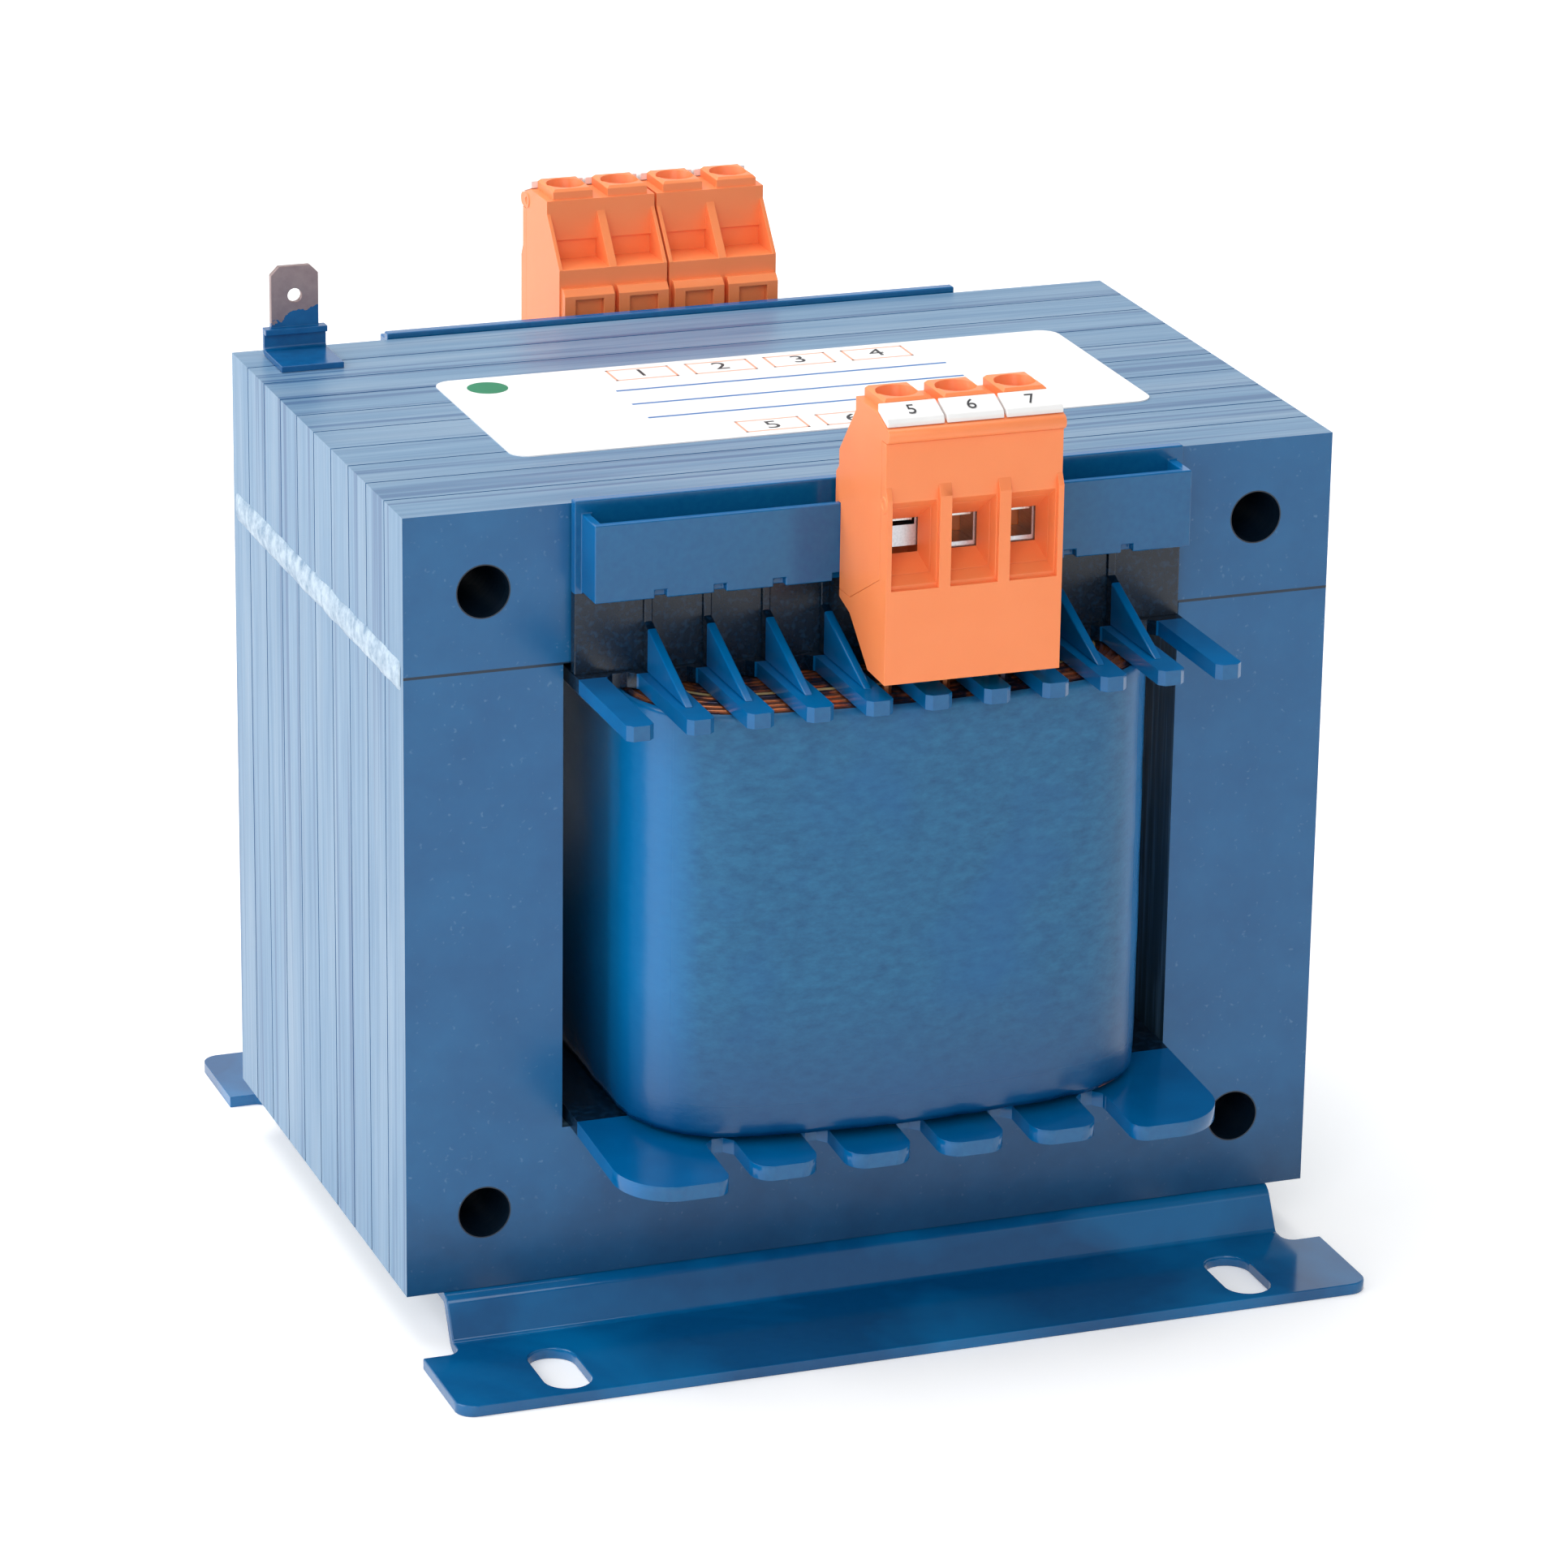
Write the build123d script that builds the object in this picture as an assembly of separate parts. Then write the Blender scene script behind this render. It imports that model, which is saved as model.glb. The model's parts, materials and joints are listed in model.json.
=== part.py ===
from build123d import *
import os

# Control transformer, 500 VA class, on an EI 120 core. X runs across, Y from front to back, Z up.
# The origin is the middle of the footprint, on the surface that the feet are screwed to.

# Laminated core
CENTRE_LEG = 40.0
OUTER_LEG = 20.0
WINDOW_WIDTH = 20.0
WINDOW_HEIGHT = 60.0
E_YOKE = 20.0
I_BAR = 20.0
STACK = 75.0
CORE_HOLE_DIA = 6.5
HOLE_INSET = 10.0
GROOVE_PITCH = 7.5
GROOVE_WIDTH = 0.25
GROOVE_DEPTH = 0.15
WELD_WIDTH = 3.4
WELD_PROUD = 0.5
WELD_END_MARGIN = 1.0

# Pressed steel feet
SHEET = 1.5
FOOT_RISE = 6.8
FOOT_REACH = 21.9
FOOT_WELD_FLANGE = 9.0
FOOT_STEP = 0.6
FOOT_LEAN = 3.0
FOOT_RELIEF = 4.8
FOOT_RELIEF_REACH = 6.6
FOOT_RELIEF_RADIUS = 1.6
FOOT_BEND_RADIUS = 0.8
FOOT_CORNER_RADIUS = 2.4
SLOT_WIDTH = 6.0
SLOT_LENGTH = 12.0
SLOT_SPACING = 90.0
SLOT_REACH = 14.5

# Moulded bobbin
LEG_CLEARANCE = 0.3
TUBE_WALL = 1.5
FLANGE = 1.9
FLANGE_LIFT = 0.3
FLANGE_SIDE_GAP = 0.8
COMB_DROP = 1.0
COMB_PITCH = 7.5
COMB_FINGERS = 11
FINGER_WIDTH = 3.4
FINGER_REACH = 21.9
FINGER_CHAMFER = 0.7
ROOT_CHAMFER = 1.1
COMB_ROOT = 2.6
RIB = 1.1
RIB_HEIGHT = 6.0
RIB_REACH = 17.4
RIB_SPINE = 0.4
APRON_WALL = 1.5
APRON_RISE = 0.7
RAIL_REACH = 6.7
RAIL_WALL = 1.1
RAIL_END_INSET = 0.9
RAIL_TOP_DROP = 1.0
RAIL_HEIGHT = 9.7
RAIL_NOTCH = 1.5
RAIL_NOTCH_DEPTH = 1.0
EAR_WIDTH = 13.0
EAR_REACH = 24.0
EAR_OUTER_CORNER = 7.0
EAR_INNER_CORNER = 2.0
TAB_WIDTH = 8.5
TAB_PITCH = 12.15
TAB_COUNT = 4
TAB_REACH = 21.8
TAB_CORNER = 2.6
TAB_ROOT = 12.6
TAB_DROOP = 1.4

# Coil, from the tube outwards
PRIMARY_BUILD = 5.5
INSULATION_BUILD = 0.5
SECONDARY_BUILD = 5.0
WRAP = 0.6
LAYER_GAP = 0.1
END_STRETCH = 1.345
END_CROWN = 0.38
COIL_CORNER = 2.0
COIL_END_MARGIN = 0.3
LEAD_DIA = 1.3
LEAD_RISE = 1.2
LEAD_JOG = 3.5
LEAD_TIP_DROP = 15.2

# Screw terminal blocks. Sections give the distance out from the rail and the height over its edge.
POLE_PITCH = 7.5
BLOCK_SIDE_GAP = 0.05
FRONT_POLES = 3
FRONT_BLOCK_X = 3.75
REAR_POLES = 2
REAR_BLOCKS = 2
REAR_BLOCK_SPACING = 15.2
REAR_BLOCK_X = 1.0
SEAT_GAP = 0.1
SHOULDER = 14.6
SHOULDER_STEP = 12.9
BACK_WALL_OUT = 4.6
BACK_OVERHANG = 0.7
SEAM_OUT = 13.4
SEAM_TOP = 11.6
SEAM_BEND = -5.5
SEAM_LOW_OUT = 3.7
SEAM_LOW = -10.6
SEAM_GAP = 0.05
LEDGE_OUT = 11.5
LEDGE_FALL = 1.2
TOWER_TOP = 16.0
TOWER_WIDTH = 5.5
TOWER_BACK = 4.9
TOWER_CHAMFER = 0.35
SHAFT_DIA = 5.0
SCREW_OUT = 8.2
DIVIDER = 1.1
POCKET_TOP = 12.9
POCKET_LEDGE = 9.2
POCKET_STEP = 0.5
CROSSBAR_TOP = 6.6
HOOK_WIDTH = 6.9
HOOK_WALL = 1.1
HOOK_TOP = 4.2
HOOK_DROP = 4.0
HOOK_ARM = 1.5
HOOK_EDGE = 1.3
HOOK_CHAMFER = 0.8
PANEL_OUT = 14.9
PANEL_STEP = 0.7
UNDERSIDE_OUT = 10.0
UNDERSIDE = -17.8
COVER_BOTTOM = -18.0
FUNNEL_TOP = 4.8
FUNNEL_BOTTOM = -6.4
FUNNEL_WIDTH = 6.0
RIB_CHAMFER = 1.4
ENTRY_WIDTH = 4.2
ENTRY_HEIGHT = 4.2
ENTRY_TOP = 0.9
ENTRY_OUT = 10.6
CHAMBER_WIDTH = 5.4
CHAMBER_BACK = 5.9
CHAMBER_TOP = 6.6
CHAMBER_BOTTOM = -5.4
SCREW_WEB = 0.6
SCREW_WEB_HOLE = 3.5
BOSS_DIA = 2.0
BOSS_BORE = 1.0
BOSS_PROUD = 0.12
BODY_BOSS_OUT = 13.0
BODY_BOSS_UP = 12.7
COVER_BOSS_OUT = 14.5
COVER_BOSS_UP = 4.0

# Rising cage clamp inside each pole
STRIP = 1.0
STRIP_WIDTH = 3.0
STRIP_OUT = 3.6
STRIP_FRONT_GAP = 0.4
STRIP_SHOWS = 0.35
STRIP_CLEARANCE = 0.1
SOLDER_TAG_DROP = 6.5
CAGE_WIDTH = 4.7
CAGE_DEPTH = 4.2
CAGE_SIDE = 0.55
CAGE_PLATE = 1.2
CAGE_JAW = 2.6
CAGE_HEADROOM = 0.4
JAW_SHOWS = 0.6
SCREW_DIA = 3.0
SCREW_FIT = 0.06
SCREW_HEAD_DIA = 4.4
SCREW_HEAD = 2.0
SCREW_SLOT = 0.8
SCREW_SLOT_DEPTH = 1.0
SCREW_END_GAP = 0.1
FIRST_CAGE_RISE = 2.7
MARKER_WIDTH = 7.2
MARKER_THICKNESS = 1.0
MARKER_CORNER = 0.3

# Earth blade and rating label
BLADE_WIDTH = 6.3
BLADE_LENGTH = 8.0
BLADE_SHEET = 0.8
BLADE_CHAMFER = 1.1
BLADE_HOLE_DIA = 1.8
BLADE_HOLE_DROP = 3.9
EARTH_FOOT_WIDTH = 8.2
EARTH_FOOT_DEPTH = 9.0
EARTH_SHOULDER = 3.6
EARTH_FOLD = 0.8
EARTH_X = -52.4
EARTH_BACK_INSET = 2.0
LABEL_WIDTH = 84.4
LABEL_DEPTH = 34.4
LABEL_SHEET = 0.15
LABEL_CORNER = 2.5
LABEL_X = 2.3
LABEL_Y = -0.8

# Heights and places that follow from the sizes above
CORE_HALF = CENTRE_LEG / 2 + WINDOW_WIDTH + OUTER_LEG
WINDOW_OUTER = CENTRE_LEG / 2 + WINDOW_WIDTH
WINDOW_BOTTOM = FOOT_RISE + E_YOKE
WINDOW_TOP = WINDOW_BOTTOM + WINDOW_HEIGHT
CORE_TOP = WINDOW_TOP + I_BAR
HALF_STACK = STACK / 2
TUBE_HALF_X = CENTRE_LEG / 2 + LEG_CLEARANCE + TUBE_WALL
TUBE_HALF_Y = HALF_STACK + LEG_CLEARANCE + TUBE_WALL
FLANGE_HALF = WINDOW_OUTER - FLANGE_SIDE_GAP
RAIL_HALF = FLANGE_HALF - RAIL_END_INSET
BOBBIN_BOTTOM = WINDOW_BOTTOM + FLANGE_LIFT
BOBBIN_TOP = WINDOW_TOP - COMB_DROP
COIL_BOTTOM = BOBBIN_BOTTOM + FLANGE + COIL_END_MARGIN
COIL_TOP = BOBBIN_TOP - FLANGE - COIL_END_MARGIN
APRON_FACE = HALF_STACK + LEG_CLEARANCE + APRON_WALL
RAIL_FACE = HALF_STACK + RAIL_REACH
RAIL_TOP = CORE_TOP - RAIL_TOP_DROP
RAIL_BOTTOM = RAIL_TOP - RAIL_HEIGHT
PRIMARY_START = LAYER_GAP
PRIMARY_END = PRIMARY_START + PRIMARY_BUILD
INSULATION_START = PRIMARY_END + LAYER_GAP
INSULATION_END = INSULATION_START + INSULATION_BUILD
SECONDARY_START = INSULATION_END + LAYER_GAP
SECONDARY_END = SECONDARY_START + SECONDARY_BUILD
WRAP_START = SECONDARY_END + LAYER_GAP
ENTRY_BOTTOM = ENTRY_TOP - ENTRY_HEIGHT
STRIP_UNDER = ENTRY_TOP - STRIP_SHOWS
STRIP_TOP = STRIP_UNDER + STRIP
JAW_TOP = ENTRY_BOTTOM + JAW_SHOWS
PLATE_UNDER = STRIP_TOP + CAGE_HEADROOM
HEAD_UNDER = CHAMBER_TOP + SCREW_WEB + SCREW_END_GAP
STRIP_LOW = SEAM_LOW - SOLDER_TAG_DROP - STRIP
LIP_RADIUS = (SHOULDER - LEDGE_FALL - SEAM_TOP) / 2


def block(x0, x1, y0, y1, z0, z1):
    """A box between two corners."""
    box = Box(x1 - x0, y1 - y0, z1 - z0, align=(Align.MIN, Align.MIN, Align.MIN))
    return Pos(x0, y0, z0) * box


def spread(count, pitch, centre=0.0):
    """The places of a row of equal steps about its centre."""
    return [centre + (i - (count - 1) / 2) * pitch for i in range(count)]


def plate(sketch, bottom, thickness):
    """A flat outline in plan, made into a plate that stands on the given height."""
    return Pos(0, 0, bottom) * extrude(sketch, amount=thickness, dir=(0, 0, 1))


def across(line, width, centre=0.0):
    """A closed outline drawn in Y and Z, carried across X."""
    face = Plane.YZ * make_face(line)
    return Pos(centre - width / 2, 0, 0) * extrude(face, amount=width, dir=(1, 0, 0))


def outward(points):
    """Points of a terminal section, from distance out and height to Y and Z."""
    return [(-out, up) for out, up in points]


def bent_sheet(path, thickness, bend_radius):
    """The closed outline of a bent sheet, with its outer face on the path and its metal to the left."""
    points = [Vector(*point) for point in path]
    runs = [(b - a).normalized() for a, b in zip(points, points[1:])]
    sides = [Vector(-run.Y, run.X) for run in runs]
    inner = [points[0] + sides[0] * thickness]
    outer_radii, inner_radii = [], []
    for point, before, after in zip(points[1:], sides, sides[1:]):
        bisector = (before + after).normalized()
        inner.append(point + bisector * (thickness / bisector.dot(before)))
        leftwards = before.cross(after).Z > 0
        outer_radii.append(bend_radius + (thickness if leftwards else 0))
        inner_radii.append(bend_radius + (0 if leftwards else thickness))
    inner.append(points[-1] + sides[-1] * thickness)
    radii = [0, *outer_radii, 0, 0, *reversed(inner_radii), 0]
    return FilletPolyline(*points, *reversed(inner), radius=radii, close=True)


def core_holes(height):
    """The two clamping holes at one height, through the whole stack."""
    drill = Rot(90, 0, 0) * Cylinder(CORE_HOLE_DIA / 2, 2 * STACK)
    return [Pos(side * (CORE_HALF - HOLE_INSET), 0, height) * drill for side in (-1, 1)]


def packet_lines(x0, x1, z0, z1):
    """Thin plates at even steps through the stack, which cut the lines between lamination packets."""
    half = GROOVE_WIDTH / 2
    rows = spread(int(STACK / GROOVE_PITCH) - 1, GROOVE_PITCH)
    return [block(x0, x1, y - half, y + half, z0, z1) for y in rows]


def side_lines(bottom, top):
    """The packet lines on the two outer sides of the core."""
    skin = CORE_HALF - GROOVE_DEPTH
    outside = CORE_HALF + 1
    return packet_lines(-outside, -skin, bottom, top) + packet_lines(skin, outside, bottom, top)


def e_laminations():
    """The E stack: yoke, centre leg and two outer legs."""
    stack = block(-CORE_HALF, CORE_HALF, -HALF_STACK, HALF_STACK, FOOT_RISE, WINDOW_TOP)
    window = block(CENTRE_LEG / 2, WINDOW_OUTER, -STACK, STACK, WINDOW_BOTTOM, WINDOW_TOP + 1)
    stack -= [window, mirror(window, about=Plane.YZ)]
    stack -= core_holes(FOOT_RISE + HOLE_INSET)
    return stack - side_lines(FOOT_RISE, WINDOW_TOP)


def i_laminations():
    """The I stack, which closes the windows at the top."""
    stack = block(-CORE_HALF, CORE_HALF, -HALF_STACK, HALF_STACK, WINDOW_TOP, CORE_TOP)
    stack -= core_holes(CORE_TOP - HOLE_INSET)
    stack -= packet_lines(-CORE_HALF, CORE_HALF, CORE_TOP - GROOVE_DEPTH, CORE_TOP + 1)
    return stack - side_lines(WINDOW_TOP, CORE_TOP)


def weld_runs():
    """The flat weld run along each side, over the joint of the E and I stacks."""
    low, high = WINDOW_TOP - WELD_WIDTH / 2, WINDOW_TOP + WELD_WIDTH / 2
    crown = ThreePointArc((CORE_HALF, low), (CORE_HALF + WELD_PROUD, WINDOW_TOP), (CORE_HALF, high))
    section = Plane.XZ * make_face([crown, Line((CORE_HALF, high), (CORE_HALF, low))])
    length = STACK - 2 * WELD_END_MARGIN
    run = Pos(0, -length / 2, 0) * extrude(section, amount=length, dir=(0, 1, 0))
    return run + mirror(run, about=Plane.YZ)


def foot_slots():
    """The two mounting slots of the front foot, longer front to back."""
    slot = Rot(0, 0, 90) * SlotOverall(SLOT_LENGTH, SLOT_WIDTH)
    places = [Pos(side * SLOT_SPACING / 2, -HALF_STACK - SLOT_REACH) for side in (-1, 1)]
    return [plate(place * slot, -1, FOOT_RISE) for place in places]


def foot():
    """The front foot, as long as the core is wide: weld flange, leaning web and slotted flange."""
    heel = -HALF_STACK + FOOT_WELD_FLANGE
    step = -HALF_STACK - FOOT_STEP
    toe = -HALF_STACK - FOOT_REACH
    path = [(heel, FOOT_RISE), (step, FOOT_RISE), (step - FOOT_LEAN, SHEET), (toe, SHEET)]
    strip = across(bent_sheet(path, SHEET, FOOT_BEND_RADIUS), 2 * CORE_HALF)
    strip -= foot_slots()
    relief_front = -HALF_STACK - FOOT_RELIEF_REACH
    relief = block(CORE_HALF - FOOT_RELIEF, 2 * CORE_HALF, relief_front, 0, -1, FOOT_RISE + 1)
    relief = fillet(relief.edges().filter_by(Axis.Z).sort_by(Axis.X)[:2], FOOT_RELIEF_RADIUS)
    strip -= [relief, mirror(relief, about=Plane.YZ)]
    corners = strip.edges().filter_by(Axis.Z).group_by(Axis.Y)[0]
    return fillet(corners, FOOT_CORNER_RADIUS)


def tongue_place(reach, corner, x):
    """Where a tongue lies that reaches out to the front, and how long it is with its hidden root."""
    length = reach + corner
    return Pos(x, -HALF_STACK - reach + length / 2), length


def slot_root(gap, depth, x):
    """The end of one slot between two tongues, with its corners cut off."""
    square = Rectangle(gap, gap)
    return Pos(x, -HALF_STACK - depth - gap / 2) * chamfer(square.vertices(), ROOT_CHAMFER)


def comb_outline():
    """The plan of the top flange: a plate with a row of fingers and narrow slots between them."""
    gap = COMB_PITCH - FINGER_WIDTH
    root = HALF_STACK + COMB_ROOT + gap / 2
    outline = Pos(0, -root / 2) * Rectangle(2 * FLANGE_HALF, root)
    for x in spread(COMB_FINGERS, COMB_PITCH):
        place, length = tongue_place(FINGER_REACH, FINGER_CHAMFER, x)
        outline += place * chamfer(Rectangle(FINGER_WIDTH, length).vertices(), FINGER_CHAMFER)
    return outline - [slot_root(gap, COMB_ROOT, x) for x in spread(COMB_FINGERS - 1, COMB_PITCH)]


def ear(side):
    """The outline of one broad ear, with a wide curve at its outer corner."""
    outer, inner = side * FLANGE_HALF, side * (FLANGE_HALF - EAR_WIDTH)
    end = -HALF_STACK - EAR_REACH
    corners = [(outer, -HALF_STACK), (outer, end), (inner, end), (inner, -HALF_STACK)]
    radii = [0, EAR_OUTER_CORNER, EAR_INNER_CORNER, 0]
    return make_face(FilletPolyline(*corners, radius=radii, close=True))


def ear_outline():
    """The plan of the bottom flange: four tongues between two broad ears, with slots between."""
    gap = TAB_PITCH - TAB_WIDTH
    root = HALF_STACK + TAB_ROOT + gap / 2
    outline = Pos(0, -root / 2) * Rectangle(2 * FLANGE_HALF, root) + [ear(-1), ear(1)]
    for x in spread(TAB_COUNT, TAB_PITCH):
        place, length = tongue_place(TAB_REACH, TAB_CORNER, x)
        outline += place * RectangleRounded(TAB_WIDTH, length, TAB_CORNER)
    return outline - [slot_root(gap, TAB_ROOT, x) for x in spread(TAB_COUNT + 1, TAB_PITCH)]


def drooping_flange():
    """The front half of the bottom flange, whose tongues are pressed down a little at their ends."""
    end = -HALF_STACK - EAR_REACH
    low, high = BOBBIN_BOTTOM, BOBBIN_BOTTOM + FLANGE
    side = Polyline(
        (0, low), (0, high), (-HALF_STACK, high), (end, high - TAB_DROOP),
        (end, low - TAB_DROOP), (-HALF_STACK, low), close=True,
    )
    whole = plate(ear_outline(), low - 2 * TAB_DROOP, FLANGE + 4 * TAB_DROOP)
    return whole & across(side, 2 * CORE_HALF)


def inner_fingers():
    """Where the fingers that carry a rib lie across: all but the two outermost."""
    return spread(COMB_FINGERS - 2, COMB_PITCH)


def gussets():
    """The gussets of one rail, each on its finger, which run up the apron as low spines."""
    foot_y = -HALF_STACK - RIB_REACH
    wall_y = -APRON_FACE
    spine_y = wall_y - RIB_SPINE
    edge = Polyline(
        (wall_y, BOBBIN_TOP), (foot_y, BOBBIN_TOP), (spine_y, BOBBIN_TOP + RIB_HEIGHT),
        (spine_y, RAIL_BOTTOM), (wall_y, RAIL_BOTTOM), close=True,
    )
    return [across(edge, RIB, x) for x in inner_fingers()]


def terminal_rail():
    """The front apron with the open channel that carries the terminal blocks."""
    apron_back = -APRON_FACE + APRON_WALL
    apron = block(-FLANGE_HALF, FLANGE_HALF, -APRON_FACE, apron_back, BOBBIN_TOP, CORE_TOP + APRON_RISE)
    front = -RAIL_FACE
    trough = block(-RAIL_HALF, RAIL_HALF, front, -APRON_FACE, RAIL_BOTTOM, RAIL_TOP)
    inside = RAIL_HALF - RAIL_WALL
    trough -= block(-inside, inside, front + RAIL_WALL, 0, RAIL_BOTTOM + RAIL_WALL, CORE_TOP)
    notch = Box(RAIL_NOTCH, 2 * RAIL_WALL, 2 * RAIL_NOTCH_DEPTH)
    return apron + trough - [Pos(x, front, RAIL_BOTTOM) * notch for x in inner_fingers()]


def bobbin():
    """The spool: a tube with a bottom flange and a comb flange, the same at both ends."""
    end = drooping_flange() + plate(comb_outline(), BOBBIN_TOP - FLANGE, FLANGE)
    height = BOBBIN_TOP - BOBBIN_BOTTOM
    tube = RectangleRounded(2 * TUBE_HALF_X, 2 * TUBE_HALF_Y, COIL_CORNER)
    whole = end + Rot(0, 0, 180) * end + plate(tube, BOBBIN_BOTTOM, height)
    leg_hole = Rectangle(CENTRE_LEG + 2 * LEG_CLEARANCE, STACK + 2 * LEG_CLEARANCE)
    return whole - plate(leg_hole, BOBBIN_BOTTOM - 1, height + 2)


def coil_outline(build):
    """The plan of the coil at one build over the tube, with crowned ends outside the core."""
    side = TUBE_HALF_X + build
    middle = TUBE_HALF_Y + build * END_STRETCH
    corner = middle - build * END_CROWN
    front = ThreePointArc((-side, -corner), (0, -middle), (side, -corner))
    rear = ThreePointArc((side, corner), (0, middle), (-side, corner))
    sides = [Line((side, -corner), (side, corner)), Line((-side, corner), (-side, -corner))]
    face = make_face([front, sides[0], rear, sides[1]])
    return fillet(face.vertices(), COIL_CORNER + build)


def coil_ring(start, end):
    """A layer of the coil between two builds."""
    return plate(coil_outline(end) - coil_outline(start), COIL_BOTTOM, COIL_TOP - COIL_BOTTOM)


def lead(x, y):
    """One wire that leaves the top of the coil, rises through the comb and ends beside its solder tag."""
    tag_y = -RAIL_FACE - STRIP_OUT - STRIP - LEAD_DIA / 2 - LAYER_GAP / 2
    rise, bend, tip = COIL_TOP + LEAD_RISE, COIL_TOP + LEAD_JOG, RAIL_TOP - LEAD_TIP_DROP
    path = Polyline((x, y, COIL_TOP), (x, y, rise), (x, tag_y, bend), (x, tag_y, tip))
    section = Plane(path @ 0, z_dir=path % 0) * RegularPolygon(LEAD_DIA / 2, 8)
    return sweep(section, path=path, transition=Transition.RIGHT)


def side_boss(poles, side, out, up):
    """The low ring on one side of a moulding, which locates the next block of a row."""
    ring = Cylinder(BOSS_DIA / 2, 2 * BOSS_PROUD) - Cylinder(BOSS_BORE / 2, 2 * BOSS_PROUD)
    return Pos(side * (poles * POLE_PITCH / 2 - BLOCK_SIDE_GAP), -out, up) * Rot(0, 90, 0) * ring


def body_shell(poles):
    """The outer form of the upper terminal moulding, with its marker ledge and rounded lip."""
    section = outward([
        (BACK_WALL_OUT, SHOULDER), (BACK_WALL_OUT, SHOULDER_STEP), (-BACK_OVERHANG, CROSSBAR_TOP),
        (-BACK_OVERHANG, SEAT_GAP), (SEAT_GAP, SEAT_GAP), (SEAT_GAP, SEAM_LOW), (SEAM_LOW_OUT, SEAM_LOW),
        (SEAM_OUT, SEAM_BEND), (SEAM_OUT, SEAM_TOP), (PANEL_OUT, SEAM_TOP),
        (PANEL_OUT, SHOULDER - LEDGE_FALL), (LEDGE_OUT, SHOULDER),
    ])
    width = poles * POLE_PITCH - 2 * BLOCK_SIDE_GAP
    shell = across(Polyline(*section, close=True), width)
    lip = Pos(0, -PANEL_OUT, SEAM_TOP + LIP_RADIUS) * Rot(0, 90, 0) * Cylinder(LIP_RADIUS, width)
    return shell + lip


def rear_pocket(x):
    """The stepped recess behind one pole, open towards the core."""
    half = (POLE_PITCH - DIVIDER) / 2
    open_side = BACK_OVERHANG + 1
    upper = block(x - half, x + half, -BACK_WALL_OUT, open_side, CROSSBAR_TOP, POCKET_TOP)
    lower_out = -BACK_WALL_OUT - POCKET_STEP
    return upper + block(x - half, x + half, lower_out, open_side, CROSSBAR_TOP, POCKET_LEDGE)


def rail_hook(x):
    """The U-shaped hook of one pole, over the edge of the rail and down behind its wall."""
    half = HOOK_WIDTH / 2
    inner = RAIL_WALL + SEAT_GAP
    outer = inner + HOOK_WALL
    head = block(x - half, x + half, -SEAT_GAP, outer, SEAT_GAP, HOOK_TOP)
    head = chamfer(head.edges().filter_by(Axis.X).group_by(Axis.Y)[-1].sort_by(Axis.Z)[-1], HOOK_CHAMFER)
    leg = block(x - half, x + half, inner, outer, -HOOK_DROP, HOOK_TOP - HOOK_CHAMFER)
    half -= HOOK_ARM
    recess = block(x - half, x + half, inner, outer + 1, -HOOK_DROP - 1, HOOK_TOP - HOOK_EDGE)
    return head + leg - recess


def tower(x):
    """The square neck round one screwdriver shaft."""
    half = TOWER_WIDTH / 2
    neck = block(x - half, x + half, -LEDGE_OUT, -TOWER_BACK, SHOULDER - 1, TOWER_TOP)
    return chamfer(neck.faces().sort_by(Axis.Z)[-1].edges(), TOWER_CHAMFER)


def pole_cavity(x):
    """The clamp chamber, screw hole and driver shaft of one pole."""
    half = CHAMBER_WIDTH / 2
    chamber = block(x - half, x + half, -ENTRY_OUT, -CHAMBER_BACK, CHAMBER_BOTTOM, CHAMBER_TOP)
    base = (Align.CENTER, Align.CENTER, Align.MIN)
    web_hole = Cylinder(SCREW_WEB_HOLE / 2, TOWER_TOP, align=base)
    shaft = Cylinder(SHAFT_DIA / 2, TOWER_TOP, align=base)
    axis = Pos(x, -SCREW_OUT, 0)
    return chamber + axis * web_hole + axis * Pos(0, 0, CHAMBER_TOP + SCREW_WEB) * shaft


def strip_slot(x):
    """Room for the current strip, back from the chamber and down out of the underside."""
    half = STRIP_WIDTH / 2 + STRIP_CLEARANCE
    outer = -STRIP_OUT - STRIP - STRIP_CLEARANCE
    inner = -STRIP_OUT + STRIP_CLEARANCE
    under, top = STRIP_UNDER - STRIP_CLEARANCE, STRIP_TOP + STRIP_CLEARANCE
    down = block(x - half, x + half, outer, inner, 2 * SEAM_LOW, top)
    return down + block(x - half, x + half, -ENTRY_OUT, inner, under, top)


def funnel(x):
    """The tapered wire entry of one pole."""
    face = -PANEL_OUT - PANEL_STEP
    mouth_z = (FUNNEL_TOP + FUNNEL_BOTTOM) / 2
    throat_z = (ENTRY_TOP + ENTRY_BOTTOM) / 2
    mouth = Pos(x, face, mouth_z) * Rot(90, 0, 0) * Rectangle(FUNNEL_WIDTH, FUNNEL_TOP - FUNNEL_BOTTOM)
    throat = Pos(x, -ENTRY_OUT, throat_z) * Rot(90, 0, 0) * Rectangle(ENTRY_WIDTH, ENTRY_HEIGHT)
    return loft([mouth, throat])


def terminal_body(poles):
    """The upper terminal moulding: towers, side walls, pockets and rail hooks."""
    body = body_shell(poles)
    centres = spread(poles, POLE_PITCH)
    body += [tower(x) for x in centres]
    body += [rail_hook(x) for x in centres]
    body += side_boss(poles, 1, BODY_BOSS_OUT, BODY_BOSS_UP)
    for x in centres:
        body -= [rear_pocket(x), pole_cavity(x), strip_slot(x), funnel(x)]
    return body


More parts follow.
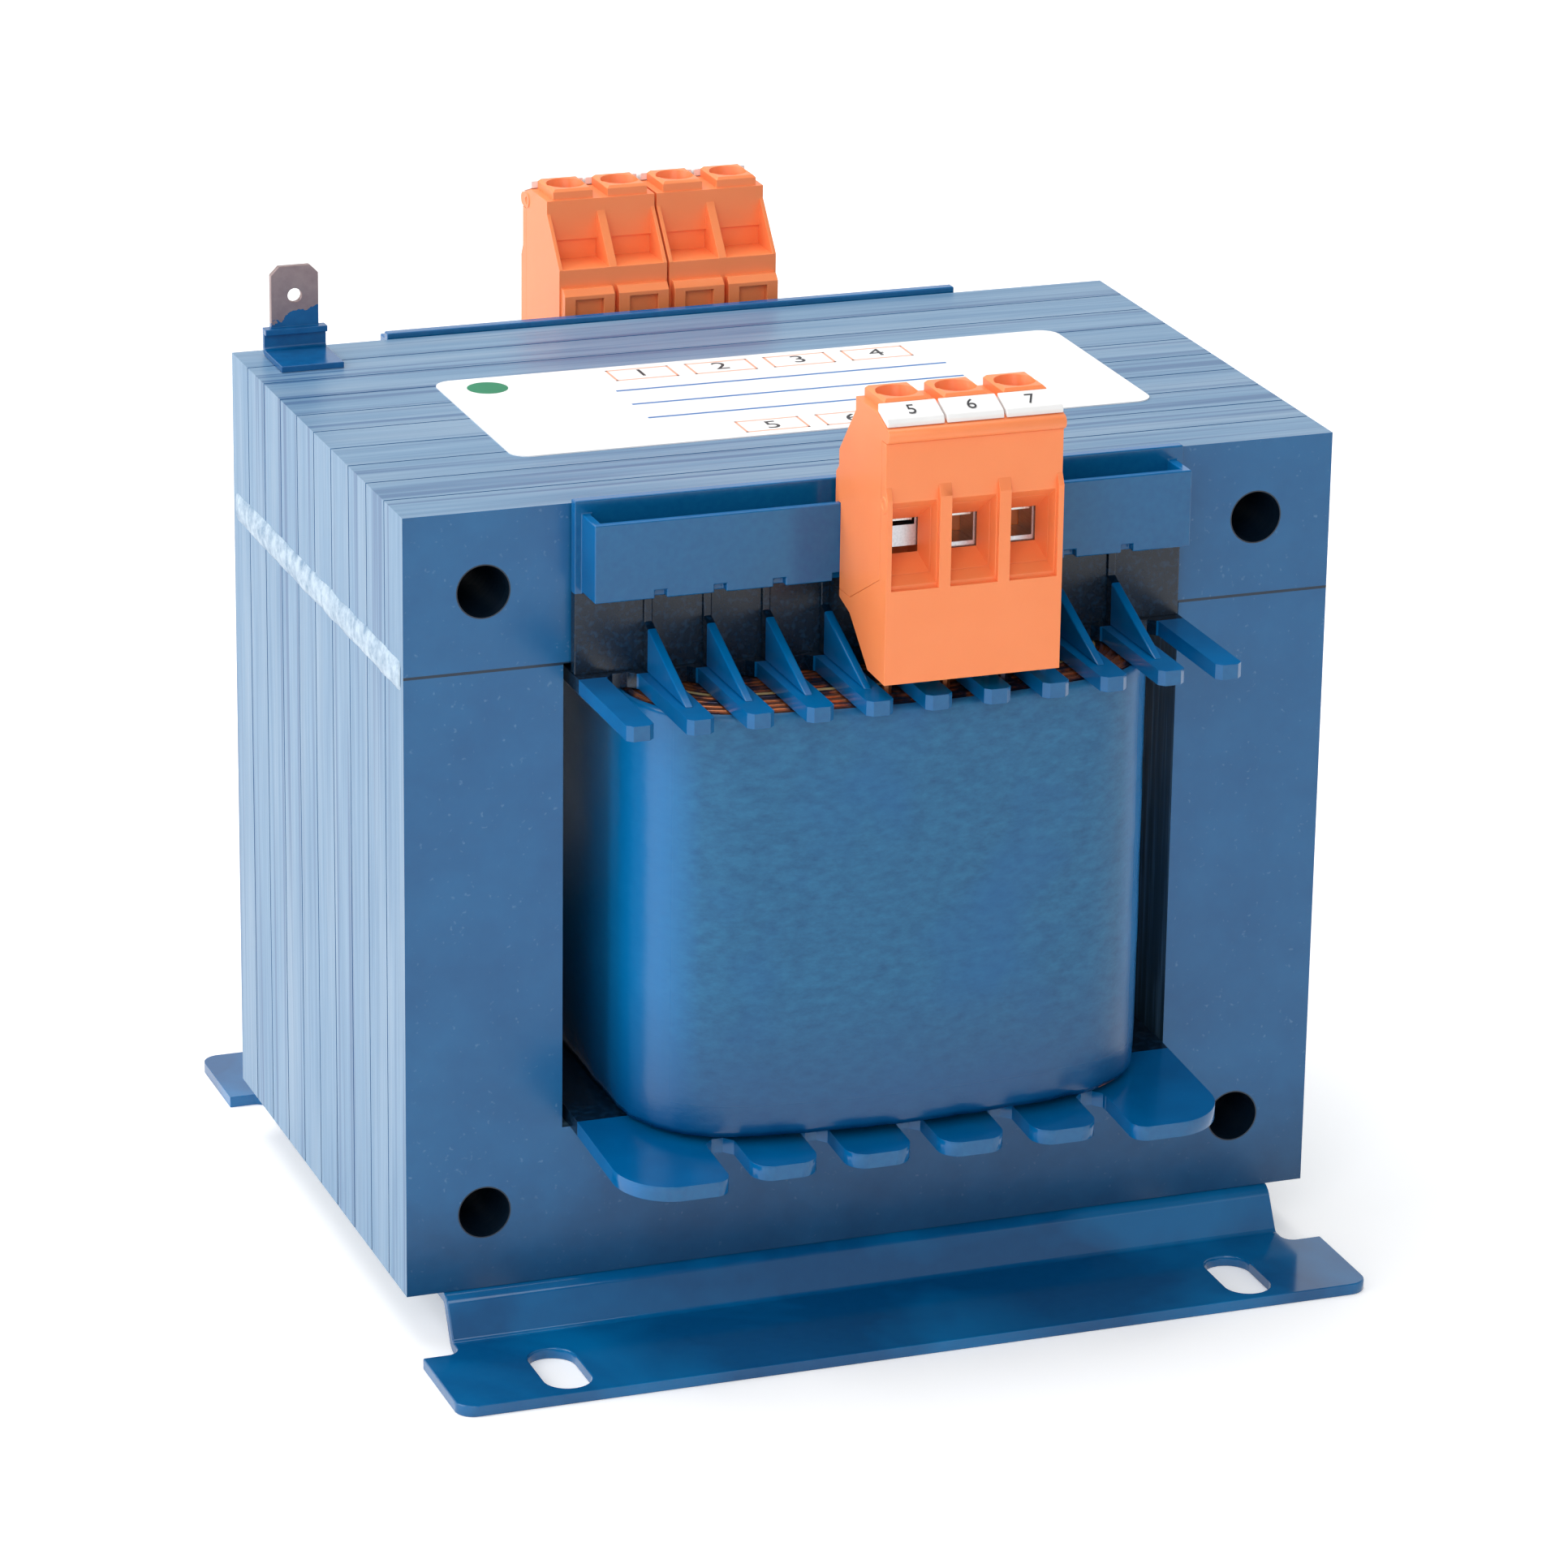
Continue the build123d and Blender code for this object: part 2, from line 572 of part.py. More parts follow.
def terminal_cover(poles):
    """The lower terminal moulding: front panel with ribs and funnels, and the slanted underside."""
    step = PANEL_OUT + PANEL_STEP
    section = outward([
        (SEAM_OUT + SEAM_GAP, SEAM_TOP - SEAM_GAP), (SEAM_OUT + SEAM_GAP, SEAM_BEND),
        (SEAM_LOW_OUT, SEAM_LOW - SEAM_GAP), (SEAT_GAP, SEAM_LOW - SEAM_GAP),
        (SEAT_GAP, SEAM_LOW - STRIP), (SEAM_LOW_OUT, SEAM_LOW - 2 * STRIP),
        (UNDERSIDE_OUT, UNDERSIDE), (step, COVER_BOTTOM), (step, FUNNEL_BOTTOM),
        (PANEL_OUT, FUNNEL_BOTTOM), (PANEL_OUT, SEAM_TOP - SEAM_GAP),
    ])
    width = poles * POLE_PITCH - 2 * BLOCK_SIDE_GAP
    cover = across(Polyline(*section, close=True), width)
    rib_line = Polyline(*outward([
        (SEAM_OUT + SEAM_GAP, FUNNEL_BOTTOM - RIB), (step, FUNNEL_BOTTOM - RIB), (step, FUNNEL_TOP),
        (PANEL_OUT, FUNNEL_TOP + RIB_CHAMFER), (SEAM_OUT + SEAM_GAP, FUNNEL_TOP + RIB_CHAMFER),
    ]), close=True)
    cover += [across(rib_line, width), side_boss(poles, -1, COVER_BOSS_OUT, COVER_BOSS_UP)]
    half, top = FUNNEL_WIDTH / 2, FUNNEL_TOP + 2 * RIB_CHAMFER
    for x in spread(poles, POLE_PITCH):
        mouth = block(x - half, x + half, -2 * PANEL_OUT, -PANEL_OUT, FUNNEL_BOTTOM, top)
        cover -= [mouth, funnel(x), strip_slot(x)]
    return cover


def current_strip(x):
    """The tinned strip that the wire is clamped against, folded down behind the cage to a solder tag."""
    front, outer = ENTRY_OUT - STRIP_FRONT_GAP, STRIP_OUT + STRIP
    section = outward([
        (STRIP_OUT, STRIP_LOW), (STRIP_OUT, STRIP_TOP), (front, STRIP_TOP),
        (front, STRIP_UNDER), (outer, STRIP_UNDER), (outer, STRIP_LOW),
    ])
    return across(Polyline(*section, close=True), STRIP_WIDTH, x)


def clamp_cage(x, rise):
    """The steel cage round the strip, threaded for the screw, at a height over its open place."""
    half, depth = CAGE_WIDTH / 2, CAGE_DEPTH / 2
    low, top = JAW_TOP - CAGE_JAW, PLATE_UNDER + CAGE_PLATE
    cage = block(x - half, x + half, -SCREW_OUT - depth, -SCREW_OUT + depth, low, top)
    opening = half - CAGE_SIDE
    cage -= block(x - opening, x + opening, -2 * SCREW_OUT, 0, JAW_TOP, PLATE_UNDER)
    thread = Pos(x, -SCREW_OUT, top) * Cylinder(SCREW_DIA / 2 + SCREW_FIT, 2 * CAGE_PLATE + CAGE_HEADROOM)
    return Pos(0, 0, rise) * (cage - thread)


def clamp_screw(x):
    """The slotted screw, which stays at its height and draws the cage up."""
    base = (Align.CENTER, Align.CENTER, Align.MIN)
    tip = STRIP_TOP + SCREW_END_GAP
    shank = Pos(0, 0, tip) * Cylinder(SCREW_DIA / 2, HEAD_UNDER - tip, align=base)
    head = Pos(0, 0, HEAD_UNDER) * Cylinder(SCREW_HEAD_DIA / 2, SCREW_HEAD, align=base)
    slot = Pos(0, 0, HEAD_UNDER + SCREW_HEAD) * Box(2 * SCREW_HEAD_DIA, SCREW_SLOT, 2 * SCREW_SLOT_DEPTH)
    return Pos(x, -SCREW_OUT, 0) * (shank + head - slot)


def marker(x):
    """The snap-on marker tag in front of one tower."""
    rise = SHOULDER + SEAM_GAP
    slope = LEDGE_FALL / (PANEL_OUT - LEDGE_OUT)
    back, front = LEDGE_OUT + SEAT_GAP, PANEL_OUT
    drop = slope * (front - back)
    section = outward([
        (back, rise), (front, rise - drop), (front, rise - drop + MARKER_THICKNESS / 2),
        (front - MARKER_CORNER, rise - drop + MARKER_THICKNESS), (back, rise + MARKER_THICKNESS),
    ])
    return across(Polyline(*section, close=True), MARKER_WIDTH, x)


def earth_blade():
    """The push-on earth blade: a foot welded to the core and a narrower blade that stands on its fold."""
    back = HALF_STACK - EARTH_BACK_INSET
    front = back - EARTH_FOOT_DEPTH
    shoulder = CORE_TOP + EARTH_SHOULDER
    path = [(front, CORE_TOP), (back, CORE_TOP), (back, shoulder)]
    piece = across(bent_sheet(path, BLADE_SHEET, BLADE_SHEET / 2), EARTH_FOOT_WIDTH, EARTH_X)
    fold_y = back - BLADE_SHEET - EARTH_FOLD
    half = EARTH_FOOT_WIDTH / 2
    piece += block(EARTH_X - half, EARTH_X + half, fold_y, back, shoulder - EARTH_FOLD, shoulder)
    tip = shoulder + BLADE_LENGTH
    half = BLADE_WIDTH / 2
    blade = block(EARTH_X - half, EARTH_X + half, back - BLADE_SHEET, back, shoulder - 1, tip)
    blade = chamfer(blade.faces().sort_by(Axis.Z)[-1].edges().filter_by(Axis.Y), BLADE_CHAMFER)
    hole = Rot(90, 0, 0) * Cylinder(BLADE_HOLE_DIA / 2, EARTH_FOOT_DEPTH)
    return piece + blade - Pos(EARTH_X, back, tip - BLADE_HOLE_DROP) * hole


def rating_label():
    """The blank rating label on top of the core."""
    outline = Pos(LABEL_X, LABEL_Y) * RectangleRounded(LABEL_WIDTH, LABEL_DEPTH, LABEL_CORNER)
    return plate(outline, CORE_TOP, LABEL_SHEET)


def write(name, shape):
    """One named piece, written as a STEP file of its own."""
    solids = shape.solids()
    piece = solids[0] if len(solids) == 1 else Compound(children=solids)
    piece.label = name
    export_step(piece, os.path.join("parts", name + ".step"))


def write_each(name, shapes):
    """Several equal pieces that stay apart, written together in one STEP file."""
    write(name, Compound(children=[solid for shape in shapes for solid in shape.solids()]))


def write_block(prefix, suffix, poles, place, first_pole, rises):
    """One terminal block with the clamps of its poles, put in its place on a rail."""
    write(prefix + "_terminal_body" + suffix, place * terminal_body(poles))
    write(prefix + "_terminal_cover" + suffix, place * terminal_cover(poles))
    for i, x in enumerate(spread(poles, POLE_PITCH)):
        number = "_" + str(first_pole + i)
        write(prefix + "_current_strip" + number, place * current_strip(x))
        write(prefix + "_clamp_cage" + number, place * clamp_cage(x, rises[i]))
        write(prefix + "_clamp_screw" + number, place * clamp_screw(x))
        write(prefix + "_marker" + number, place * marker(x))


os.makedirs("parts", exist_ok=True)
turn = Rot(0, 0, 180)
write("e_laminations", e_laminations())
write("i_laminations", i_laminations())
write("weld_runs", weld_runs())
write("front_foot", foot())
write("rear_foot", turn * foot())
write("bobbin", bobbin())
write("front_terminal_rail", terminal_rail())
write("rear_terminal_rail", turn * terminal_rail())
write_each("front_gussets", gussets())
write_each("rear_gussets", [turn * gusset for gusset in gussets()])
write("earth_blade", earth_blade())
write("rating_label", rating_label())

front_poles = spread(FRONT_POLES, POLE_PITCH, FRONT_BLOCK_X)
rear_block_centres = spread(REAR_BLOCKS, REAR_BLOCK_SPACING, -REAR_BLOCK_X)
rear_poles = [x for centre in rear_block_centres for x in spread(REAR_POLES, POLE_PITCH, centre)]
primary_exit = -TUBE_HALF_Y - (PRIMARY_START + PRIMARY_END) / 2 * END_STRETCH
secondary_exit = -TUBE_HALF_Y - (SECONDARY_START + SECONDARY_END) / 2 * END_STRETCH
write("primary_winding", coil_ring(PRIMARY_START, PRIMARY_END))
write_each("primary_leads", [turn * lead(x, primary_exit) for x in rear_poles])
write("winding_insulation", coil_ring(INSULATION_START, INSULATION_END))
write("secondary_winding", coil_ring(SECONDARY_START, SECONDARY_END))
write_each("secondary_leads", [lead(x, secondary_exit) for x in front_poles])
write("coil_wrap", coil_ring(WRAP_START, WRAP_START + WRAP))

front_place = Pos(FRONT_BLOCK_X, -RAIL_FACE, RAIL_TOP)
write_block("front", "", FRONT_POLES, front_place, 1, [FIRST_CAGE_RISE, 0, 0])
for i, x in enumerate(rear_block_centres):
    rear_place = turn * Pos(x, -RAIL_FACE, RAIL_TOP)
    write_block("rear", "_" + str(i + 1), REAR_POLES, rear_place, 1 + i * REAR_POLES, [0] * REAR_POLES)
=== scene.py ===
import json
import math

import bpy
from mathutils import Matrix, Vector, noise


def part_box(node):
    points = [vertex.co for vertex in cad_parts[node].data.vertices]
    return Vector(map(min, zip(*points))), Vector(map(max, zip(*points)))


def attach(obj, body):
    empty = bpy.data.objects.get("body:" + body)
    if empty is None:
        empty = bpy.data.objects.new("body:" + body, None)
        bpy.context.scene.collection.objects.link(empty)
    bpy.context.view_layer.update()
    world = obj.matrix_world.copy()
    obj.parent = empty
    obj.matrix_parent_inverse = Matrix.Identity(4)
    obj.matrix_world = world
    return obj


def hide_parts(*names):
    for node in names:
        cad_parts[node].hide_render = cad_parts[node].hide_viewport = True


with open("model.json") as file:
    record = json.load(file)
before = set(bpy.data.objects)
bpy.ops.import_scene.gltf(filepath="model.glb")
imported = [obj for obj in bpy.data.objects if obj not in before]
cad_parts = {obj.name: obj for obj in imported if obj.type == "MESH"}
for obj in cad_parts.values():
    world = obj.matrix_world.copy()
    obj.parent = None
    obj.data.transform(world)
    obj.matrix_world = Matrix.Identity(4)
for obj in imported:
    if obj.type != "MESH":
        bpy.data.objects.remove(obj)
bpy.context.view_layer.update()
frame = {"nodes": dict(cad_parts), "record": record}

# Looks of the open control transformer, built round its fixed frame, in metres.
MM = 0.001
ROOT = "transformer"
box_of = {name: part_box(name) for name in frame["nodes"]}

# Sizes of the coil in mm, as its solids have them
TUBE_HALF_X, TUBE_HALF_Y = 21.8, 39.3
END_STRETCH, END_CROWN, COIL_CORNER = 1.345, 0.38, 2.0
PRIMARY_START, SECONDARY_START, WRAP_END = 0.1, 6.3, 12.0
PRIMARY_WIRE, PRIMARY_LAYERS = 0.9, 6
SECONDARY_WIRE, SECONDARY_LAYERS = 1.25, 4
PAPER_THICKNESS = 0.45

# Sizes of the core in mm
CORE_HALF, HALF_STACK, WINDOW_TOP = 60.0, 37.5, 86.8
WINDOW_OUT = 45.0
HOLE_OUT, HOLE_UP, HOLE_MIDDLE, HOLE_WALL = 50.0, 40.0, 56.8, 3.4
JOINT_HALF = 0.18

# Sizes of the weld runs in mm
WELD_HALF, WELD_PROUD, WELD_RIPPLE, WELD_END_GAP = 2.0, 0.34, 1.3, 1.05
WELD_STATIONS, WELD_SIDES = 147, 9

# Sizes of the print in mm
CELL_PITCH, CELL_WIDTH, CELL_DEPTH, CELL_EDGE, CELL_LINE = 10.6, 8.4, 4.8, 1.6, 0.3
INPUT_CELLS_IN, OUTPUT_CELLS_IN = 22.5, 30.5
RULE_LEFT, RULE_RIGHT, RULE_EDGE, RULE_LINE = 21.0, 19.0, 11.0, 0.5
LABEL_FIGURE, FIGURE_EDGE, TAG_FIGURE = 4.2, 3.8, 2.6
SPOT_IN, SPOT_DOWN, SPOT_RADIUS, SPOT_SIDES = 6.0, 4.6, 2.6, 48
INK_THICKNESS = 0.02
TAG_SLOPE = math.atan2(1.2, 3.4)
TAG_FACE_DOWN = 0.6

# A colour mix takes its factor in socket 0 and its colours in 6 and 7, and gives its result from 2.
COLOURS = {"data_type": "RGBA"}
NUMBERS = {"data_type": "FLOAT"}
VARNISH_IOR = 1.5


def linear(colour):
    """An sRGB hex colour as linear red, green, blue and alpha."""
    channels = [int(colour[i:i + 2], 16) / 255 for i in (1, 3, 5)]
    return [c / 12.92 if c <= 0.04045 else ((c + 0.055) / 1.055) ** 2.4 for c in channels] + [1.0]


def per(millimetres):
    """The scale of a pattern whose features have this size."""
    return 1 / (millimetres * MM)


def add(tree, kind, inputs=None, **settings):
    """Adds one shader node. Each input is a value or the socket that is linked to it."""
    made = tree.nodes.new("ShaderNode" + kind)
    for name, value in settings.items():
        setattr(made, name, value)
    for name, value in (inputs or {}).items():
        if isinstance(value, bpy.types.NodeSocket):
            tree.links.new(value, made.inputs[name])
        else:
            made.inputs[name].default_value = value
    return made


def start_material(name, **sockets):
    """A new material with the constants of its shader, and the object coordinates for its patterns."""
    material = bpy.data.materials.new(name)
    material.use_nodes = True
    tree = material.node_tree
    shader = tree.nodes["Principled BSDF"]
    for socket, value in sockets.items():
        shader.inputs[socket.replace("_", " ")].default_value = value
    place = add(tree, "TexCoord").outputs["Object"]
    return material, tree, shader, place


def sheet_edges(tree, place):
    """The colour of the stacked sheet edges, pale and greyish partly as a painted sheen, and the fine pattern
    along them.
    The 0.5 mm sheets are drawn 1 mm thick, because they would be too fine to show."""
    along = add(tree, "Mapping", {"Vector": place, "Scale": (per(30), per(1.0), per(30))}).outputs[0]
    fine = add(tree, "TexNoise", {"Vector": along, "Scale": 1.0, "Detail": 3.0, "Roughness": 0.6}).outputs[0]
    broad_place = add(tree, "Mapping", {"Vector": place, "Scale": (per(60), per(5), per(60))}).outputs[0]
    broad = add(tree, "TexNoise", {"Vector": broad_place, "Scale": 1.0, "Detail": 2.0}).outputs[0]
    hair_place = add(tree, "Mapping", {"Vector": place, "Scale": (per(150), per(1.3), per(150))}).outputs[0]
    hair = add(tree, "TexNoise", {"Vector": hair_place, "Scale": 1.0, "Detail": 1.0}).outputs[0]
    line = add(tree, "MapRange", {"Value": hair, "From Min": 0.57, "From Max": 0.68}, clamp=True).outputs[0]
    spread = add(tree, "MapRange", {"Value": fine, "From Min": 0.3, "From Max": 0.7}, clamp=True).outputs[0]
    # The pale edge blues and the broad grey patches are partly the edges' own colour and partly a painted
    # sheen.
    edge = add(tree, "Mix", {0: spread, 6: linear("#517DA2"), 7: linear("#7296B5")}, **COLOURS).outputs[2]
    pale = add(tree, "MapRange", {"Value": broad, "From Min": 0.45, "From Max": 0.75, "To Max": 0.5},
               clamp=True).outputs[0]
    edge = add(tree, "Mix", {0: pale, 6: edge, 7: linear("#8FA6BC")}, **COLOURS).outputs[2]
    edge = add(tree, "Mix", {0: line, 6: edge, 7: linear("#3F6A94")}, **COLOURS).outputs[2]
    return edge, fine


def shaded_window_walls(tree, where, edge, fine):
    """The sheet edges with the walls of the two windows painted darker: painted shade inside the windows,
    over the sheet stripes.
    """
    across = add(tree, "Math", {0: where.outputs["X"]}, operation="ABSOLUTE").outputs[0]
    inside = add(tree, "Math", {0: across, 1: WINDOW_OUT * MM}, operation="LESS_THAN").outputs[0]
    under = add(tree, "Math", {0: where.outputs["Z"], 1: (WINDOW_TOP + 1) * MM},
                operation="LESS_THAN").outputs[0]
    window = add(tree, "Math", {0: inside, 1: under}, operation="MULTIPLY").outputs[0]
    stripe = add(tree, "MapRange", {"Value": fine, "From Min": 0.5, "From Max": 0.75}, clamp=True).outputs[0]
    window_shade = add(tree, "Mix", {0: stripe, 6: linear("#29465A"), 7: linear("#6C95B4")}, **COLOURS).outputs[2]
    return add(tree, "Mix", {0: window, 6: edge, 7: window_shade}, **COLOURS).outputs[2]


def flat_faces(tree, place, where):
    """The colour of the flat core faces, and the clouds in it."""
    cloud = add(tree, "TexNoise", {
        "Vector": place, "Scale": per(9), "Detail": 4.0, "Roughness": 0.65}).outputs[0]
    speck = add(tree, "TexNoise", {"Vector": place, "Scale": per(0.7), "Detail": 1.0}).outputs[0]
    face = add(tree, "Mix", {0: cloud, 6: linear("#054F83"), 7: linear("#1E6B9F")}, **COLOURS).outputs[2]
    dot = add(tree, "MapRange", {"Value": speck, "From Min": 0.7, "From Max": 0.82, "To Max": 0.35},
              clamp=True).outputs[0]
    face = add(tree, "Mix", {0: dot, 6: face, 7: linear("#6F97B8")}, **COLOURS).outputs[2]
    # Painted shade darkens the lower end of the faces, above the feet, with a ragged upper edge.
    ragged = add(tree, "Math", {0: cloud, 1: 8 * MM}, operation="MULTIPLY").outputs[0]
    level = add(tree, "Math", {0: where.outputs["Z"], 1: ragged}, operation="ADD").outputs[0]
    low_shade = add(tree, "MapRange", {
        "Value": level, "From Min": 24 * MM, "From Max": 10 * MM, "To Max": 0.75}, clamp=True).outputs[0]
    face = add(tree, "Mix", {0: low_shade, 6: face, 7: linear("#06395E")}, **COLOURS).outputs[2]
    # The butt joint between the E and the I sheets shows as a thin dark line.
    off_joint = add(tree, "Math", {0: where.outputs["Z"], 1: WINDOW_TOP * MM},
                    operation="SUBTRACT").outputs[0]
    joint_gap = add(tree, "Math", {0: off_joint}, operation="ABSOLUTE").outputs[0]
    joint = add(tree, "Math", {0: joint_gap, 1: JOINT_HALF * MM}, operation="LESS_THAN").outputs[0]
    face = add(tree, "Mix", {0: joint, 6: face, 7: linear("#06263D")}, **COLOURS).outputs[2]
    return face, cloud


def shaded_hole_walls(tree, place, colour):
    """A colour made dark inside the four bolt holes as painted shade; the holes are alike on both sides and
    above and below.
    """
    folded = add(tree, "VectorMath", {0: place, 1: (0, 0, HOLE_MIDDLE * MM)}, operation="SUBTRACT").outputs[0]
    folded = add(tree, "VectorMath", {0: folded}, operation="ABSOLUTE").outputs[0]
    from_hole = add(tree, "VectorMath", {0: folded, 1: (HOLE_OUT * MM, 0, HOLE_UP * MM)},
                    operation="SUBTRACT").outputs[0]
    from_hole = add(tree, "VectorMath", {0: from_hole, 1: (1, 0, 1)}, operation="MULTIPLY").outputs[0]
    reach = add(tree, "VectorMath", {0: from_hole}, operation="LENGTH").outputs["Value"]
    hole_shade = add(tree, "Math", {0: reach, 1: HOLE_WALL * MM}, operation="LESS_THAN").outputs[0]
    return add(tree, "Mix", {0: hole_shade, 6: colour, 7: linear("#0A1E30")}, **COLOURS).outputs[2]


def dipped_laminations():
    """Silicon steel sheets, punched, stacked on edge and dipped in blue impregnating varnish.
    The flat faces look deep blue under a soft shine, with painted shade at their lower end; the sheet edges
    look pale, streaky and combed, the pale partly a painted sheen; the window walls and bolt holes carry
    painted shade."""
    material, tree, shader, place = start_material("dipped_laminated_steel", IOR=VARNISH_IOR)
    normal = add(tree, "SeparateXYZ", {0: add(tree, "NewGeometry").outputs["Normal"]})
    facing = add(tree, "Math", {0: normal.outputs["Y"]}, operation="ABSOLUTE").outputs[0]
    flat = add(tree, "Math", {0: facing, 1: 0.6}, operation="GREATER_THAN").outputs[0]
    where = add(tree, "SeparateXYZ", {0: place})
    edge, fine = sheet_edges(tree, place)
    edge = shaded_window_walls(tree, where, edge, fine)
    face, cloud = flat_faces(tree, place, where)
    colour = add(tree, "Mix", {0: flat, 6: edge, 7: face}, **COLOURS).outputs[2]
    tree.links.new(shaded_hole_walls(tree, place, colour), shader.inputs["Base Color"])
    rough = add(tree, "MapRange", {"Value": flat, "To Min": 0.38, "To Max": 0.25}).outputs[0]
    tree.links.new(rough, shader.inputs["Roughness"])
    height = add(tree, "Mix", {0: flat, 2: fine, 3: cloud}, **NUMBERS).outputs[0]
    bump = add(tree, "Bump", {"Strength": 0.5, "Distance": 0.12 * MM, "Height": height})
    tree.links.new(bump.outputs[0], shader.inputs["Normal"])
    return material


def dipped_moulding():
    """Glass-filled polyamide, moulded and then dipped in blue varnish, which gives it a wet, deep gloss."""
    material, tree, shader, place = start_material("dipped_polyamide_moulding", IOR=VARNISH_IOR)
    cloud = add(tree, "TexNoise", {"Vector": place, "Scale": per(6), "Detail": 3.0}).outputs[0]
    grain = add(tree, "TexNoise", {"Vector": place, "Scale": per(0.8), "Detail": 2.0}).outputs[0]
    colour = add(tree, "Mix", {0: cloud, 6: linear("#00568E"), 7: linear("#006DAD")}, **COLOURS).outputs[2]
    # Faces turned to the front and back get a grainier, greyer, slightly darker blue.
    normal = add(tree, "SeparateXYZ", {0: add(tree, "NewGeometry").outputs["Normal"]})
    faced = add(tree, "Math", {0: normal.outputs["Y"]}, operation="ABSOLUTE").outputs[0]
    front = add(tree, "MapRange", {"Value": faced, "From Min": 0.6, "From Max": 0.9, "To Max": 0.7},
                clamp=True).outputs[0]
    front_facing_blue = add(tree, "Mix", {0: grain, 6: linear("#004C7E"), 7: linear("#146796")}, **COLOURS).outputs[2]
    colour = add(tree, "Mix", {0: front, 6: colour, 7: front_facing_blue}, **COLOURS).outputs[2]
    # The apron behind the gussets got only overspray, so it is matt, flecked and less shiny; its darkness is
    # painted shade under the rail.
    where = add(tree, "SeparateXYZ", {0: place})
    depth = add(tree, "Math", {0: where.outputs["Y"]}, operation="ABSOLUTE").outputs[0]
    back = add(tree, "Math", {0: depth, 1: 41 * MM}, operation="LESS_THAN").outputs[0]
    low = add(tree, "Math", {0: where.outputs["Z"], 1: 96 * MM}, operation="LESS_THAN").outputs[0]
    apron = add(tree, "Math", {0: back, 1: low}, operation="MULTIPLY").outputs[0]
    fleck = add(tree, "MapRange", {"Value": grain, "From Min": 0.5, "From Max": 0.7}, clamp=True).outputs[0]
    overspray_and_shade = add(tree, "Mix", {0: fleck, 6: linear("#051A2C"), 7: linear("#12314A")}, **COLOURS).outputs[2]
    colour = add(tree, "Mix", {0: apron, 6: colour, 7: overspray_and_shade}, **COLOURS).outputs[2]
    tree.links.new(colour, shader.inputs["Base Color"])
    rough = add(tree, "MapRange", {"Value": apron, "To Min": 0.15, "To Max": 0.25}).outputs[0]
    tree.links.new(rough, shader.inputs["Roughness"])
    bump = add(tree, "Bump", {"Strength": 0.25, "Distance": 0.1 * MM, "Height": cloud})
    tree.links.new(bump.outputs[0], shader.inputs["Normal"])
    return material


def dipped_sheet_steel():
    """Pressed and bent mild steel under thick blue varnish: glossy, darker where the varnish is deep."""
    material, tree, shader, place = start_material("dipped_pressed_steel", IOR=VARNISH_IOR, Roughness=0.13)
    cloud = add(tree, "TexNoise", {
        "Vector": place, "Scale": per(28), "Detail": 3.0, "Distortion": 0.6}).outputs[0]
    deep = add(tree, "MapRange", {"Value": cloud, "From Min": 0.42, "From Max": 0.6}, clamp=True).outputs[0]
    fine = add(tree, "TexNoise", {"Vector": place, "Scale": per(1.2), "Detail": 2.0}).outputs[0]
    colour = add(tree, "Mix", {0: deep, 6: linear("#004F84"), 7: linear("#006EA9")}, **COLOURS).outputs[2]
    tone = add(tree, "MapRange", {"Value": fine, "To Min": 0.0, "To Max": 0.2}).outputs[0]
    colour = add(tree, "Mix", {0: tone, 6: colour, 7: linear("#1D74A8")}, **COLOURS).outputs[2]
    tree.links.new(colour, shader.inputs["Base Color"])
    bump = add(tree, "Bump", {"Strength": 0.2, "Distance": 0.15 * MM, "Height": cloud})
    tree.links.new(bump.outputs[0], shader.inputs["Normal"])
    return material


def weld_under_varnish():
    """A flat arc-welded run under a thin coat: milky, pale and a little ragged."""
    material, tree, shader, place = start_material("arc_weld_under_varnish", IOR=VARNISH_IOR, Roughness=0.35)
    cloud = add(tree, "TexNoise", {
        "Vector": place, "Scale": per(2.2), "Detail": 4.0, "Roughness": 0.7}).outputs[0]
    tone = add(tree, "MapRange", {"Value": cloud, "From Min": 0.35, "From Max": 0.6}, clamp=True).outputs[0]
    colour = add(tree, "Mix", {0: tone, 6: linear("#6F90AE"), 7: linear("#B4C8D8")}, **COLOURS).outputs[2]
    tree.links.new(colour, shader.inputs["Base Color"])
    bump = add(tree, "Bump", {"Strength": 0.5, "Distance": 0.2 * MM, "Height": cloud})
    tree.links.new(bump.outputs[0], shader.inputs["Normal"])
    return material


